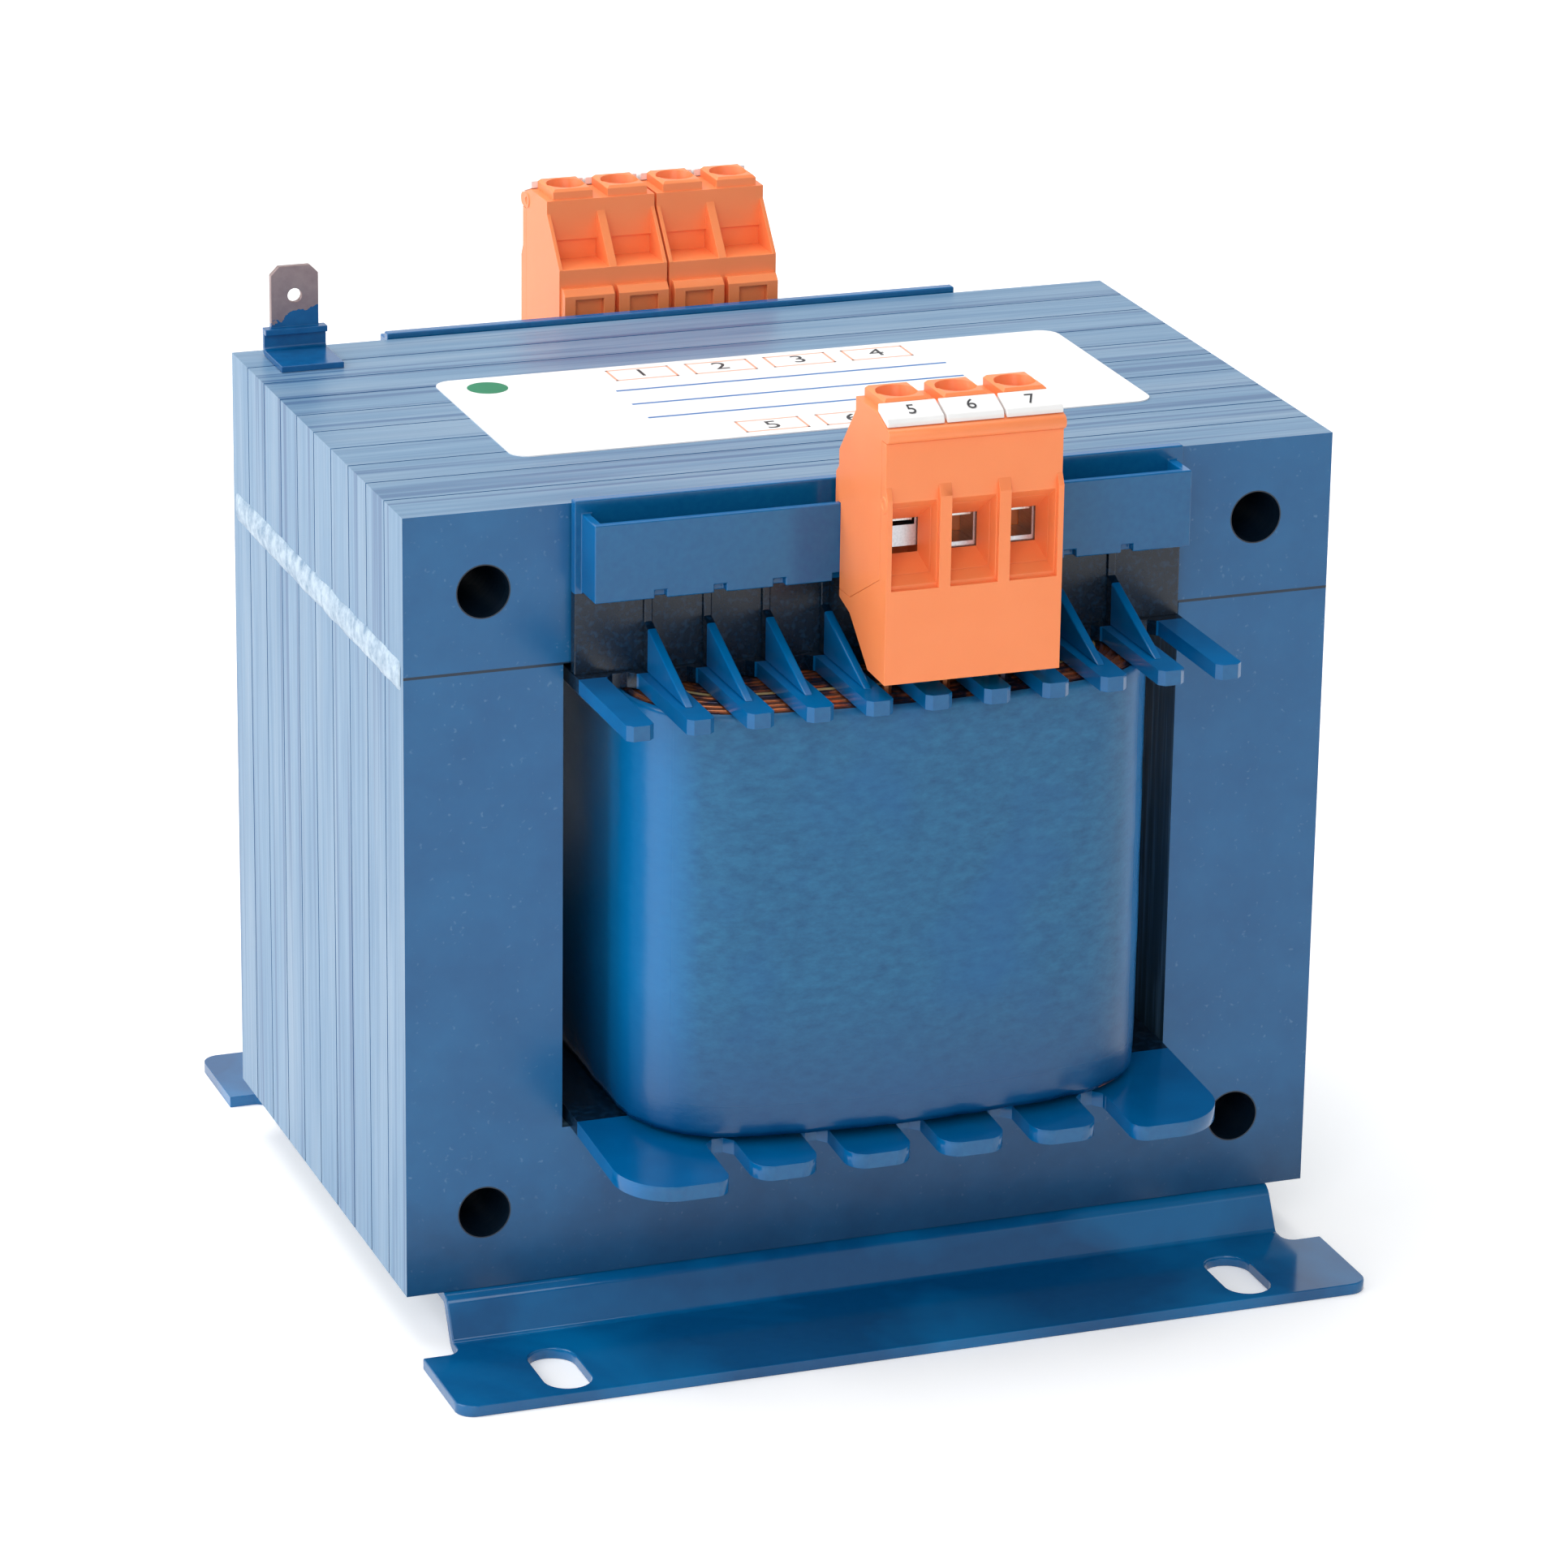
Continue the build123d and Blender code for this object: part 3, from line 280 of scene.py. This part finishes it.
def varnished_paper():
    """Calendered insulating paper wound over the coil and soaked in varnish: mottled, fibrous, satin."""
    material, tree, shader, place = start_material("varnish_soaked_insulating_paper", IOR=VARNISH_IOR)
    fibre_place = add(tree, "Mapping", {"Vector": place, "Scale": (per(2.2), per(2.2), per(1.1))}).outputs[0]
    fibre = add(tree, "TexNoise", {
        "Vector": fibre_place, "Scale": 1.0, "Detail": 5.0, "Roughness": 0.7}).outputs[0]
    cloud = add(tree, "TexNoise", {"Vector": place, "Scale": per(18), "Detail": 3.0}).outputs[0]
    tone = add(tree, "MapRange", {"Value": fibre, "From Min": 0.3, "From Max": 0.7}, clamp=True).outputs[0]
    colour = add(tree, "Mix", {0: tone, 6: linear("#004F7C"), 7: linear("#1C6A95")}, **COLOURS).outputs[2]
    wet = add(tree, "MapRange", {"Value": cloud, "From Min": 0.5, "From Max": 0.7, "To Max": 0.5},
              clamp=True).outputs[0]
    colour = add(tree, "Mix", {0: wet, 6: colour, 7: linear("#005A94")}, **COLOURS).outputs[2]
    # The two flanks get a lighter, deeper blue, painted light that makes up for the shade of the core's legs;
    # towards the lower edge the paper turns darker. Both are also smoother and shinier.
    where = add(tree, "SeparateXYZ", {0: place})
    across = add(tree, "Math", {0: where.outputs["X"]}, operation="ABSOLUTE").outputs[0]
    flank = add(tree, "MapRange", {"Value": across, "From Min": 27 * MM, "From Max": 31 * MM},
                clamp=True).outputs[0]
    low = add(tree, "MapRange", {"Value": where.outputs["Z"], "From Min": 48 * MM, "From Max": 29 * MM},
              clamp=True).outputs[0]
    glossy_zone = add(tree, "Math", {0: flank, 1: low}, operation="MAXIMUM").outputs[0]
    share = add(tree, "Math", {0: flank, 1: 0.8}, operation="MULTIPLY").outputs[0]
    colour = add(tree, "Mix", {0: share, 6: colour, 7: linear("#0072B2")}, **COLOURS).outputs[2]
    share = add(tree, "Math", {0: low, 1: 0.85}, operation="MULTIPLY").outputs[0]
    colour = add(tree, "Mix", {0: share, 6: colour, 7: linear("#004478")}, **COLOURS).outputs[2]
    tree.links.new(colour, shader.inputs["Base Color"])
    rough = add(tree, "MapRange", {"Value": glossy_zone, "To Min": 0.45, "To Max": 0.22}).outputs[0]
    tree.links.new(rough, shader.inputs["Roughness"])
    bump = add(tree, "Bump", {"Strength": 0.35, "Distance": 0.12 * MM, "Height": fibre})
    tree.links.new(bump.outputs[0], shader.inputs["Normal"])
    return material


def film():
    """Polyester film, cast and stretched, between the windings: slightly amber and smooth."""
    material, tree, shader, place = start_material("polyester_insulation_film", IOR=1.6, Roughness=0.3)
    cloud = add(tree, "TexNoise", {"Vector": place, "Scale": per(5), "Detail": 2.0}).outputs[0]
    colour = add(tree, "Mix", {0: cloud, 6: linear("#C4A86A"), 7: linear("#DCC690")}, **COLOURS).outputs[2]
    tree.links.new(colour, shader.inputs["Base Color"])
    return material


def enamelled_wire():
    """Drawn copper wire in clear enamel, largely stained by the varnish and painted dark as shade: coppery
    glints among dark smears.
    """
    material, tree, shader, place = start_material("enamelled_drawn_copper", Metallic=0.7, Roughness=0.25)
    cloud = add(tree, "TexNoise", {"Vector": place, "Scale": per(3.5), "Detail": 3.0}).outputs[0]
    # Dark smears: varnish stain, and painted shade where the wire tops lie between the fingers.
    stain_and_shade = add(tree, "MapRange", {"Value": cloud, "From Min": 0.44, "From Max": 0.56, "To Max": 0.92},
                clamp=True).outputs[0]
    fine = add(tree, "TexNoise", {"Vector": place, "Scale": per(0.9)}).outputs[0]
    colour = add(tree, "Mix", {0: fine, 6: linear("#8E4B28"), 7: linear("#CF8156")}, **COLOURS).outputs[2]
    colour = add(tree, "Mix", {0: stain_and_shade, 6: colour, 7: linear("#12304A")}, **COLOURS).outputs[2]
    tree.links.new(colour, shader.inputs["Base Color"])
    return material


def orange_polyamide():
    """Orange polyamide, injection moulded in a finely eroded tool: satin, even and slightly translucent."""
    material, tree, shader, place = start_material(
        "injection_moulded_polyamide", IOR=1.53, Roughness=0.42,
        Subsurface_Weight=0.12, Subsurface_Scale=0.8 * MM)
    shader.inputs["Subsurface Radius"].default_value = (1.0, 0.35, 0.12)
    cloud = add(tree, "TexNoise", {"Vector": place, "Scale": per(7), "Detail": 2.0}).outputs[0]
    grain = add(tree, "TexNoise", {"Vector": place, "Scale": per(0.3), "Detail": 1.0}).outputs[0]
    colour = add(tree, "Mix", {0: cloud, 6: linear("#F88A50"), 7: linear("#FE9259")}, **COLOURS).outputs[2]
    tree.links.new(colour, shader.inputs["Base Color"])
    bump = add(tree, "Bump", {"Strength": 0.15, "Distance": 0.04 * MM, "Height": grain})
    tree.links.new(bump.outputs[0], shader.inputs["Normal"])
    return material


def bright_metal(name, dark, light, roughness):
    """A plated metal with fine drawn or rolled lines, which give it a soft streaky shine."""
    material, tree, shader, place = start_material(name, Metallic=1.0, Roughness=roughness)
    drawn = add(tree, "Mapping", {"Vector": place, "Scale": (per(0.25), per(3), per(0.25))}).outputs[0]
    lines = add(tree, "TexNoise", {"Vector": drawn, "Scale": 1.0, "Detail": 3.0}).outputs[0]
    colour = add(tree, "Mix", {0: lines, 6: linear(dark), 7: linear(light)}, **COLOURS).outputs[2]
    tree.links.new(colour, shader.inputs["Base Color"])
    bump = add(tree, "Bump", {"Strength": 0.2, "Distance": 0.02 * MM, "Height": lines})
    tree.links.new(bump.outputs[0], shader.inputs["Normal"])
    return material


def earth_blade_metal():
    """Stamped brass sheet, browned by the heat of welding, whose foot was dipped in the varnish.
    It looks dull and pinkish above, and blue and wet below a ragged, leaning edge."""
    material, tree, shader, place = start_material("browned_brass_dipped_at_its_foot", IOR=VARNISH_IOR)
    cloud = add(tree, "TexNoise", {
        "Vector": place, "Scale": per(1.6), "Detail": 4.0, "Roughness": 0.6}).outputs[0]
    metal = add(tree, "Mix", {0: cloud, 6: linear("#8A767C"), 7: linear("#B5A19C")}, **COLOURS).outputs[2]
    where = add(tree, "SeparateXYZ", {0: place})
    ragged = add(tree, "Math", {0: cloud, 1: 4 * MM}, operation="MULTIPLY").outputs[0]
    level = add(tree, "Math", {0: where.outputs["Z"], 1: ragged}, operation="SUBTRACT").outputs[0]
    slope = add(tree, "Math", {0: where.outputs["X"], 1: -0.35}, operation="MULTIPLY").outputs[0]
    tilted = add(tree, "Math", {0: level, 1: slope}, operation="ADD").outputs[0]
    coated = add(tree, "Math", {0: tilted, 1: 128.6 * MM}, operation="LESS_THAN").outputs[0]
    blue = add(tree, "Mix", {0: cloud, 6: linear("#004A82"), 7: linear("#0E66A0")}, **COLOURS).outputs[2]
    colour = add(tree, "Mix", {0: coated, 6: metal, 7: blue}, **COLOURS).outputs[2]
    tree.links.new(colour, shader.inputs["Base Color"])
    bare = add(tree, "MapRange", {"Value": coated, "To Min": 0.85, "To Max": 0.0}).outputs[0]
    tree.links.new(bare, shader.inputs["Metallic"])
    rough = add(tree, "MapRange", {"Value": coated, "To Min": 0.4, "To Max": 0.18}).outputs[0]
    tree.links.new(rough, shader.inputs["Roughness"])
    return material


def plain_print(name, dark, light, roughness):
    """Smooth film, moulded tag or printed ink, with only a faint change of tone."""
    material, tree, shader, place = start_material(name, IOR=1.49, Roughness=roughness)
    cloud = add(tree, "TexNoise", {"Vector": place, "Scale": per(4), "Detail": 2.0}).outputs[0]
    colour = add(tree, "Mix", {0: cloud, 6: linear(dark), 7: linear(light)}, **COLOURS).outputs[2]
    tree.links.new(colour, shader.inputs["Base Color"])
    return material


laminations = dipped_laminations()
moulding = dipped_moulding()
sheet_steel = dipped_sheet_steel()
weld_metal = weld_under_varnish()
paper = varnished_paper()
polyester = film()
copper = enamelled_wire()
orange = orange_polyamide()
zinc = bright_metal("zinc_plated_steel", "#A9ADB2", "#DADDE0", 0.28)
tin = bright_metal("tinned_copper_strip", "#B4B3AE", "#E2E1DC", 0.22)
browned_brass = earth_blade_metal()
label_film = plain_print("printed_label_film", "#F4F4F2", "#FBFBFA", 0.4)
tag_plastic = plain_print("white_moulded_polyamide", "#EDEDEC", "#F8F8F7", 0.45)
black_ink = plain_print("black_ink", "#2C2C30", "#3A3A40", 0.6)
orange_ink = plain_print("orange_ink", "#F2A184", "#F6B49C", 0.6)
blue_ink = plain_print("blue_ink", "#2D6FB4", "#3C7EC2", 0.6)
green_ink = plain_print("green_ink", "#147A55", "#1C8A61", 0.6)

MATERIAL_OF_SLOT = {
    "coated_laminations": laminations, "coated_sheet_steel": sheet_steel, "weld_metal": weld_metal,
    "coated_bobbin": moulding, "insulation_film": polyester, "varnished_wrap": paper,
    "enamelled_copper": copper, "orange_housing": orange, "tinned_strip": tin,
    "zinc_plated_steel": zinc, "white_marker": tag_plastic, "white_label": label_film,
    "copper_blade": browned_brass,
}
for part in frame["record"]["subparts"]:
    shown = frame["nodes"][part["node"]]
    shown.data.materials.clear()
    shown.data.materials.append(MATERIAL_OF_SLOT[part["material_slot"]])


def soften(names, width):
    """Rounds the sharp edges of solid pieces by a width in mm, as moulding, pressing or varnish does."""
    for name in names:
        piece = frame["nodes"][name]
        weld = piece.modifiers.new("one_skin", "WELD")
        weld.merge_threshold = 0.001 * MM
        flat = piece.modifiers.new("whole_faces", "DECIMATE")
        flat.decimate_type = "DISSOLVE"
        flat.angle_limit = math.radians(1)
        bevel = piece.modifiers.new("soft_edges", "BEVEL")
        bevel.width = width * MM
        bevel.segments = 2
        bevel.limit_method = "ANGLE"
        bevel.angle_limit = math.radians(30)
        bevel.harden_normals = True


orange_names = [n for n in frame["nodes"] if "terminal_body" in n or "terminal_cover" in n]
marker_names = [n for n in frame["nodes"] if "marker" in n]
soften(orange_names, 0.15)
soften(marker_names, 0.12)
soften(["bobbin", "front_foot", "rear_foot"], 0.25)
soften([n for n in frame["nodes"] if n.endswith("_rail") or n.endswith("_gussets")], 0.2)
soften(["earth_blade"], 0.1)


def new_piece(name, vertices, faces, material, smooth=True):
    """A mesh piece from points in mm, which rides on the transformer."""
    mesh = bpy.data.meshes.new(name)
    mesh.from_pydata([(x * MM, y * MM, z * MM) for x, y, z in vertices], [], faces)
    mesh.materials.append(material)
    mesh.update()
    for face in mesh.polygons:
        face.use_smooth = smooth
    piece = bpy.data.objects.new(name, mesh)
    bpy.context.scene.collection.objects.link(piece)
    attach(piece, ROOT)
    return piece


def closed_rows(rows):
    """The faces between rings of equal length, each ring closed on itself."""
    count = len(rows[0])
    faces = []
    for r in range(len(rows) - 1):
        below, above = r * count, (r + 1) * count
        for i in range(count):
            after = (i + 1) % count
            faces.append((below + i, below + after, above + after, above + i))
    return faces


def wavy(x, y, z, size, seed):
    """Smooth noise between about -1 and 1, with features of a size in mm."""
    return noise.noise(Vector((x / size + seed, y / size, z / size)))


def coil_plan(build):
    """The plan of the coil at a build over its tube, as points about 1 mm apart.
    They run anticlockwise from the front middle."""
    side = TUBE_HALF_X + build
    middle = TUBE_HALF_Y + build * END_STRETCH
    rise = build * END_CROWN
    crown = (rise * rise + side * side) / (2 * rise)
    corner = COIL_CORNER + build
    centre_y = -middle + crown
    corner_x = side - corner
    corner_y = centre_y - math.sqrt((crown - corner) ** 2 - corner_x ** 2)
    turn = math.atan2(corner_x, centre_y - corner_y)
    arc = max(8, round(crown * turn))
    bend = max(6, round(corner * (math.pi / 2 - turn) / 0.8))
    straight = max(4, round(-corner_y / 2))
    quarter = []
    for i in range(arc):
        angle = turn * i / arc
        quarter.append((crown * math.sin(angle), centre_y - crown * math.cos(angle)))
    for i in range(bend):
        angle = turn + (math.pi / 2 - turn) * i / bend
        quarter.append((corner_x + corner * math.sin(angle), corner_y - corner * math.cos(angle)))
    quarter += [(side, corner_y * (1 - i / straight)) for i in range(straight + 1)]
    half = quarter + [(x, -y) for x, y in reversed(quarter[:-1])]
    return half + [(-x, y) for x, y in reversed(half[1:-1])]


def paper_wrap():
    """The paper round the coil, with soft dents, creases along its lower edge and a turned-in rim."""
    low, high = (corner.z / MM for corner in box_of["coil_wrap"])
    steps, rim_depth, crease_height = 60, 0.9, 6
    outer = coil_plan(WRAP_END)
    rings = []
    for step in range(steps + 1):
        z = low + (high - low) * step / steps
        pucker = max(0.0, 1 - (z - low) / crease_height) ** 2
        lower_rim = 0.35 * max(0.0, 1 - (z - low) / rim_depth) ** 2
        upper_rim = 0.3 * max(0.0, 1 - (high - z) / rim_depth) ** 2
        ring = []
        for x, y in outer:
            dent = 0.10 + 0.09 * wavy(x, y, z, 11, 3.1) + 0.05 * wavy(x, y, z, 3.5, 8.7)
            crease = pucker * (0.25 + 0.35 * wavy(x, y, z * 0.3, 2.6, 1.9))
            inward = max(0.02, dent + crease) + lower_rim + upper_rim
            size = math.hypot(x, y)
            ring.append((x * (1 - inward / size), y * (1 - inward / size), z))
        rings.append(ring)
    points = [point for ring in rings for point in ring]
    piece = new_piece("paper_wrap", points, closed_rows(rings), paper)
    thick = piece.modifiers.new("paper_thickness", "SOLIDIFY")
    thick.thickness = PAPER_THICKNESS * MM
    thick.offset = -1
    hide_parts("coil_wrap")


def wire_turn(build, level, dia, sides=8):
    """One turn of wire that shows at an end of the coil, never quite level."""
    plan = coil_plan(build)
    rows = []
    for i, (x, y) in enumerate(plan):
        before, after = plan[i - 1], plan[(i + 1) % len(plan)]
        run = Vector((after[0] - before[0], after[1] - before[1], 0)).normalized()
        out = Vector((run.y, -run.x, 0))
        z = level + 0.05 * wavy(x, y, build * 7, 9, 5.5)
        row = []
        for k in range(sides):
            angle = 2 * math.pi * k / sides
            away, up = math.cos(angle) * dia / 2, math.sin(angle) * dia / 2
            row.append((x + out.x * away, y + out.y * away, z + up))
        rows.append(row)
    points = [point for row in rows for point in row]
    faces = [tuple(v % len(points) for v in face) for face in closed_rows(rows + [rows[0]])]
    return points, faces


def wire_layers():
    """The outermost turns of every layer of both windings, at both ends of the coil."""
    windings = (("primary_winding", PRIMARY_START, PRIMARY_WIRE, PRIMARY_LAYERS),
                ("secondary_winding", SECONDARY_START, SECONDARY_WIRE, SECONDARY_LAYERS))
    for winding, start, dia, layers in windings:
        low, high = (corner.z / MM for corner in box_of[winding])
        points, faces = [], []
        for layer in range(layers):
            build = start + dia * (layer + 0.5)
            for level in (low + 0.4 * dia, high - 0.3 * dia):
                more, rows = wire_turn(build, level, dia * 0.98)
                faces += [tuple(v + len(points) for v in face) for face in rows]
                points += more
        new_piece(winding + "_turns", points, faces, copper)


def weld_bead(name, side):
    """One welded run along the side of the core, with the ripples of the arc and wandering edges."""
    rows = []
    half = HALF_STACK - WELD_END_GAP
    last, sides = WELD_STATIONS - 1, WELD_SIDES
    for i in range(WELD_STATIONS):
        y = -half + 2 * half * i / last
        width = WELD_HALF + 0.25 * wavy(y, 0, side, 4, 2.2)
        middle = WINDOW_TOP + 0.12 * wavy(y, 0, side, 9, 6.1)
        ends = min(1.0, (half - abs(y)) / 1.2 + 0.25)
        ripple = 0.06 * math.sin(y * 2 * math.pi / WELD_RIPPLE) + 0.05 * wavy(y, 1, side, 2, 4.4)
        proud = (WELD_PROUD + ripple) * ends
        row = []
        for k in range(sides):
            angle = math.pi * k / (sides - 1)
            out = CORE_HALF - 0.2 + (0.2 + proud) * math.sin(angle)
            row.append((side * out, y, middle - width * math.cos(angle)))
        rows.append(row)
    points = [point for row in rows for point in row]
    faces = closed_rows(rows) + [tuple(range(sides)), tuple(range(len(points) - sides, len(points)))]
    return new_piece(name, points, faces, weld_metal)


def printed(name, text, size, place, turn):
    """Plain figures printed in black on a surface, a few hundredths of a millimetre proud."""
    curve = bpy.data.curves.new(name, "FONT")
    curve.body = text
    curve.size = size * MM
    curve.extrude = INK_THICKNESS / 2 * MM
    curve.align_x, curve.align_y = "CENTER", "CENTER"
    maker = bpy.data.objects.new(name + "_maker", curve)
    bpy.context.scene.collection.objects.link(maker)
    bpy.context.view_layer.update()
    mesh = bpy.data.meshes.new_from_object(maker.evaluated_get(bpy.context.evaluated_depsgraph_get()))
    bpy.data.objects.remove(maker)
    mesh.name = name
    mesh.materials.clear()
    mesh.materials.append(black_ink)
    piece = bpy.data.objects.new(name, mesh)
    piece.matrix_world = Matrix.Translation([c * MM for c in place]) @ turn
    bpy.context.scene.collection.objects.link(piece)
    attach(piece, ROOT)


def flat_strips(name, strips, level, material):
    """Thin printed bars on a level surface, each given by its corners in mm."""
    points, faces = [], []
    for x0, x1, y0, y1 in strips:
        n = len(points)
        corners = ((x0, y0), (x1, y0), (x1, y1), (x0, y1))
        points += [(x, y, z) for z in (level, level + INK_THICKNESS) for x, y in corners]
        faces += [(n, n + 3, n + 2, n + 1), (n + 4, n + 5, n + 6, n + 7)]
        faces += [(n + k, n + (k + 1) % 4, n + 4 + (k + 1) % 4, n + 4 + k) for k in range(4)]
    new_piece(name, points, faces, material, smooth=False)


def frame_strips(x0, x1, y0, y1):
    """The four bars of a printed box."""
    line = CELL_LINE
    return [
        (x0, x1, y0, y0 + line),
        (x0, x1, y1 - line, y1),
        (x0, x0 + line, y0, y1),
        (x1 - line, x1, y0, y1),
    ]


def label_print():
    """Blank ruled cells with plain terminal figures, three rules, and a plain green spot."""
    low, high = box_of["rating_label"]
    level = high.z / MM
    back, front = high.y / MM, low.y / MM
    left, right = low.x / MM, high.x / MM
    rows = (("1234", INPUT_CELLS_IN, back - CELL_EDGE - CELL_DEPTH, back - FIGURE_EDGE),
            ("567", OUTPUT_CELLS_IN, front + CELL_EDGE, front + FIGURE_EDGE))
    cells, figures = [], []
    for row, inset, y, figure_y in rows:
        for i, figure in enumerate(row):
            x = left + inset + i * CELL_PITCH
            cells += frame_strips(x, x + CELL_WIDTH, y, y + CELL_DEPTH)
            figures.append((figure, x + CELL_WIDTH / 2, figure_y))
    flat_strips("label_cells", cells, level, orange_ink)
    levels = (back - RULE_EDGE, (back + front) / 2, front + RULE_EDGE)
    rules = [(left + RULE_LEFT, right - RULE_RIGHT, y, y + RULE_LINE) for y in levels]
    flat_strips("label_rules", rules, level, blue_ink)
    for figure, x, y in figures:
        place = (x, y, level + INK_THICKNESS / 2)
        printed("label_figure_" + figure, figure, LABEL_FIGURE, place, Matrix.Identity(4))
    sides = SPOT_SIDES
    angles = [2 * math.pi * k / sides for k in range(sides)]
    spot_x, spot_y = left + SPOT_IN, back - SPOT_DOWN
    spot = [(spot_x + SPOT_RADIUS * math.cos(a), spot_y + SPOT_RADIUS * math.sin(a)) for a in angles]
    points = [(x, y, z) for z in (level + INK_THICKNESS, level) for x, y in spot]
    faces = [tuple(range(sides))]
    faces += [(sides + k, sides + (k + 1) % sides, (k + 1) % sides, k) for k in range(sides)]
    new_piece("label_spot", points, faces, green_ink, smooth=False)


def marker_figures():
    """One plain figure on every marker tag: 1 to 4 at the rear and 5 to 7 at the front."""
    for name in marker_names:
        low, high = box_of[name]
        side, number = name.split("_marker_")
        rear = side == "rear"
        figure = number if rear else str(int(number) + 4)
        x, y = (low.x + high.x) / 2 / MM, (low.y + high.y) / 2 / MM
        turn = Matrix.Rotation(-TAG_SLOPE if rear else TAG_SLOPE, 4, "X")
        height = high.z / MM - TAG_FACE_DOWN + 0.015
        printed(name + "_figure", figure, TAG_FIGURE, (x, y, height), turn)


paper_wrap()
wire_layers()
left_bead = weld_bead("left_weld_bead", -1)
weld_bead("right_weld_bead", 1)
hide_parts("weld_runs")
label_print()
marker_figures()

# Camera at the fitted view
camera_data = bpy.data.cameras.new("camera")
camera_data.sensor_width = 36.0
camera_data.lens = 150.22
camera = bpy.data.objects.new("camera", camera_data)
camera.location = (-0.27201, -0.74341, 0.33542)
camera.rotation_euler = [math.radians(a) for a in (70.461, -0.783, -19.969)]
bpy.context.scene.collection.objects.link(camera)
bpy.context.scene.camera = camera


def softbox(name, place, size, power):
    """A square area lamp at a place, turned towards the middle of the object."""
    middle = Vector((0.0, 0.0, 0.055))
    data = bpy.data.lights.new(name, "AREA")
    data.size = size
    data.energy = power
    lamp = bpy.data.objects.new(name, data)
    lamp.location = place
    lamp.rotation_euler = (middle - Vector(place)).to_track_quat("-Z", "Y").to_euler()
    bpy.context.scene.collection.objects.link(lamp)


softbox("left_softbox", (-1.3, 0.1, 0.75), 1.1, 12.0)
softbox("top_softbox", (-0.1, 0.5, 1.5), 1.2, 14.0)
softbox("front_softbox", (-0.7, -1.4, 0.9), 1.0, 9.0)


def straight_rays(tree):
    """Light Path, and the rays of it that show the plain background: camera and transmission rays."""
    rays = add(tree, "LightPath")
    straight = add(tree, "Math", {0: rays.outputs["Is Camera Ray"], 1: rays.outputs["Is Transmission Ray"]},
                   operation="MAXIMUM").outputs[0]
    return rays, straight


def studio():
    """White to the camera and softer as light. Gloss shows the white backdrop,
    which ends above the object, where the studio is dark."""
    world = bpy.data.worlds.new("studio")
    bpy.context.scene.world = world
    world.use_nodes = True
    tree = world.node_tree
    rays, straight = straight_rays(tree)
    strength = add(tree, "MapRange", {"Value": straight, "To Min": 0.45, "To Max": 1.0}).outputs[0]
    height = add(tree, "SeparateXYZ", {0: add(tree, "TexCoord").outputs["Generated"]}).outputs["Z"]
    backdrop = add(tree, "MapRange",
                   {"Value": height, "From Min": 0.42, "From Max": 0.62, "To Min": 1.0, "To Max": 0.15},
                   clamp=True).outputs[0]
    strength = add(tree, "Mix", {0: rays.outputs["Is Glossy Ray"], 2: strength, 3: backdrop},
                   **NUMBERS).outputs[0]
    background = tree.nodes["Background"]
    background.inputs["Color"].default_value = (1.0, 1.0, 1.0, 1.0)
    tree.links.new(strength, background.inputs["Strength"])


def pale_floor():
    """A level sheet of white paper that keeps a soft shadow and otherwise reads as plain white."""
    reach, lift = 4.0, 0.3
    mesh = bpy.data.meshes.new("floor")
    corners = [(-reach, -reach, 0), (reach, -reach, 0), (reach, reach, 0), (-reach, reach, 0)]
    mesh.from_pydata(corners, [], [(0, 1, 2, 3)])
    material, tree, shader, place = start_material("matt_white_paper", Roughness=0.9)
    grain = add(tree, "TexNoise", {"Vector": place, "Scale": per(40)}).outputs[0]
    colour = add(tree, "Mix", {0: grain, 6: linear("#F2F2F2"), 7: linear("#F6F6F6")}, **COLOURS).outputs[2]
    tree.links.new(colour, shader.inputs["Base Color"])
    rays, straight = straight_rays(tree)
    shown = add(tree, "Math", {0: straight, 1: rays.outputs["Is Glossy Ray"]}, operation="MAXIMUM").outputs[0]
    raised = add(tree, "Math", {0: shown, 1: lift}, operation="MULTIPLY").outputs[0]
    glow = add(tree, "Emission", {"Color": (1.0, 1.0, 1.0, 1.0), "Strength": raised})
    both = add(tree, "AddShader", {0: shader.outputs[0], 1: glow.outputs[0]})
    tree.links.new(both.outputs[0], tree.nodes["Material Output"].inputs["Surface"])
    mesh.materials.append(material)
    floor = bpy.data.objects.new("floor", mesh)
    bpy.context.scene.collection.objects.link(floor)


studio()
pale_floor()
bpy.context.scene.view_settings.view_transform = "Standard"
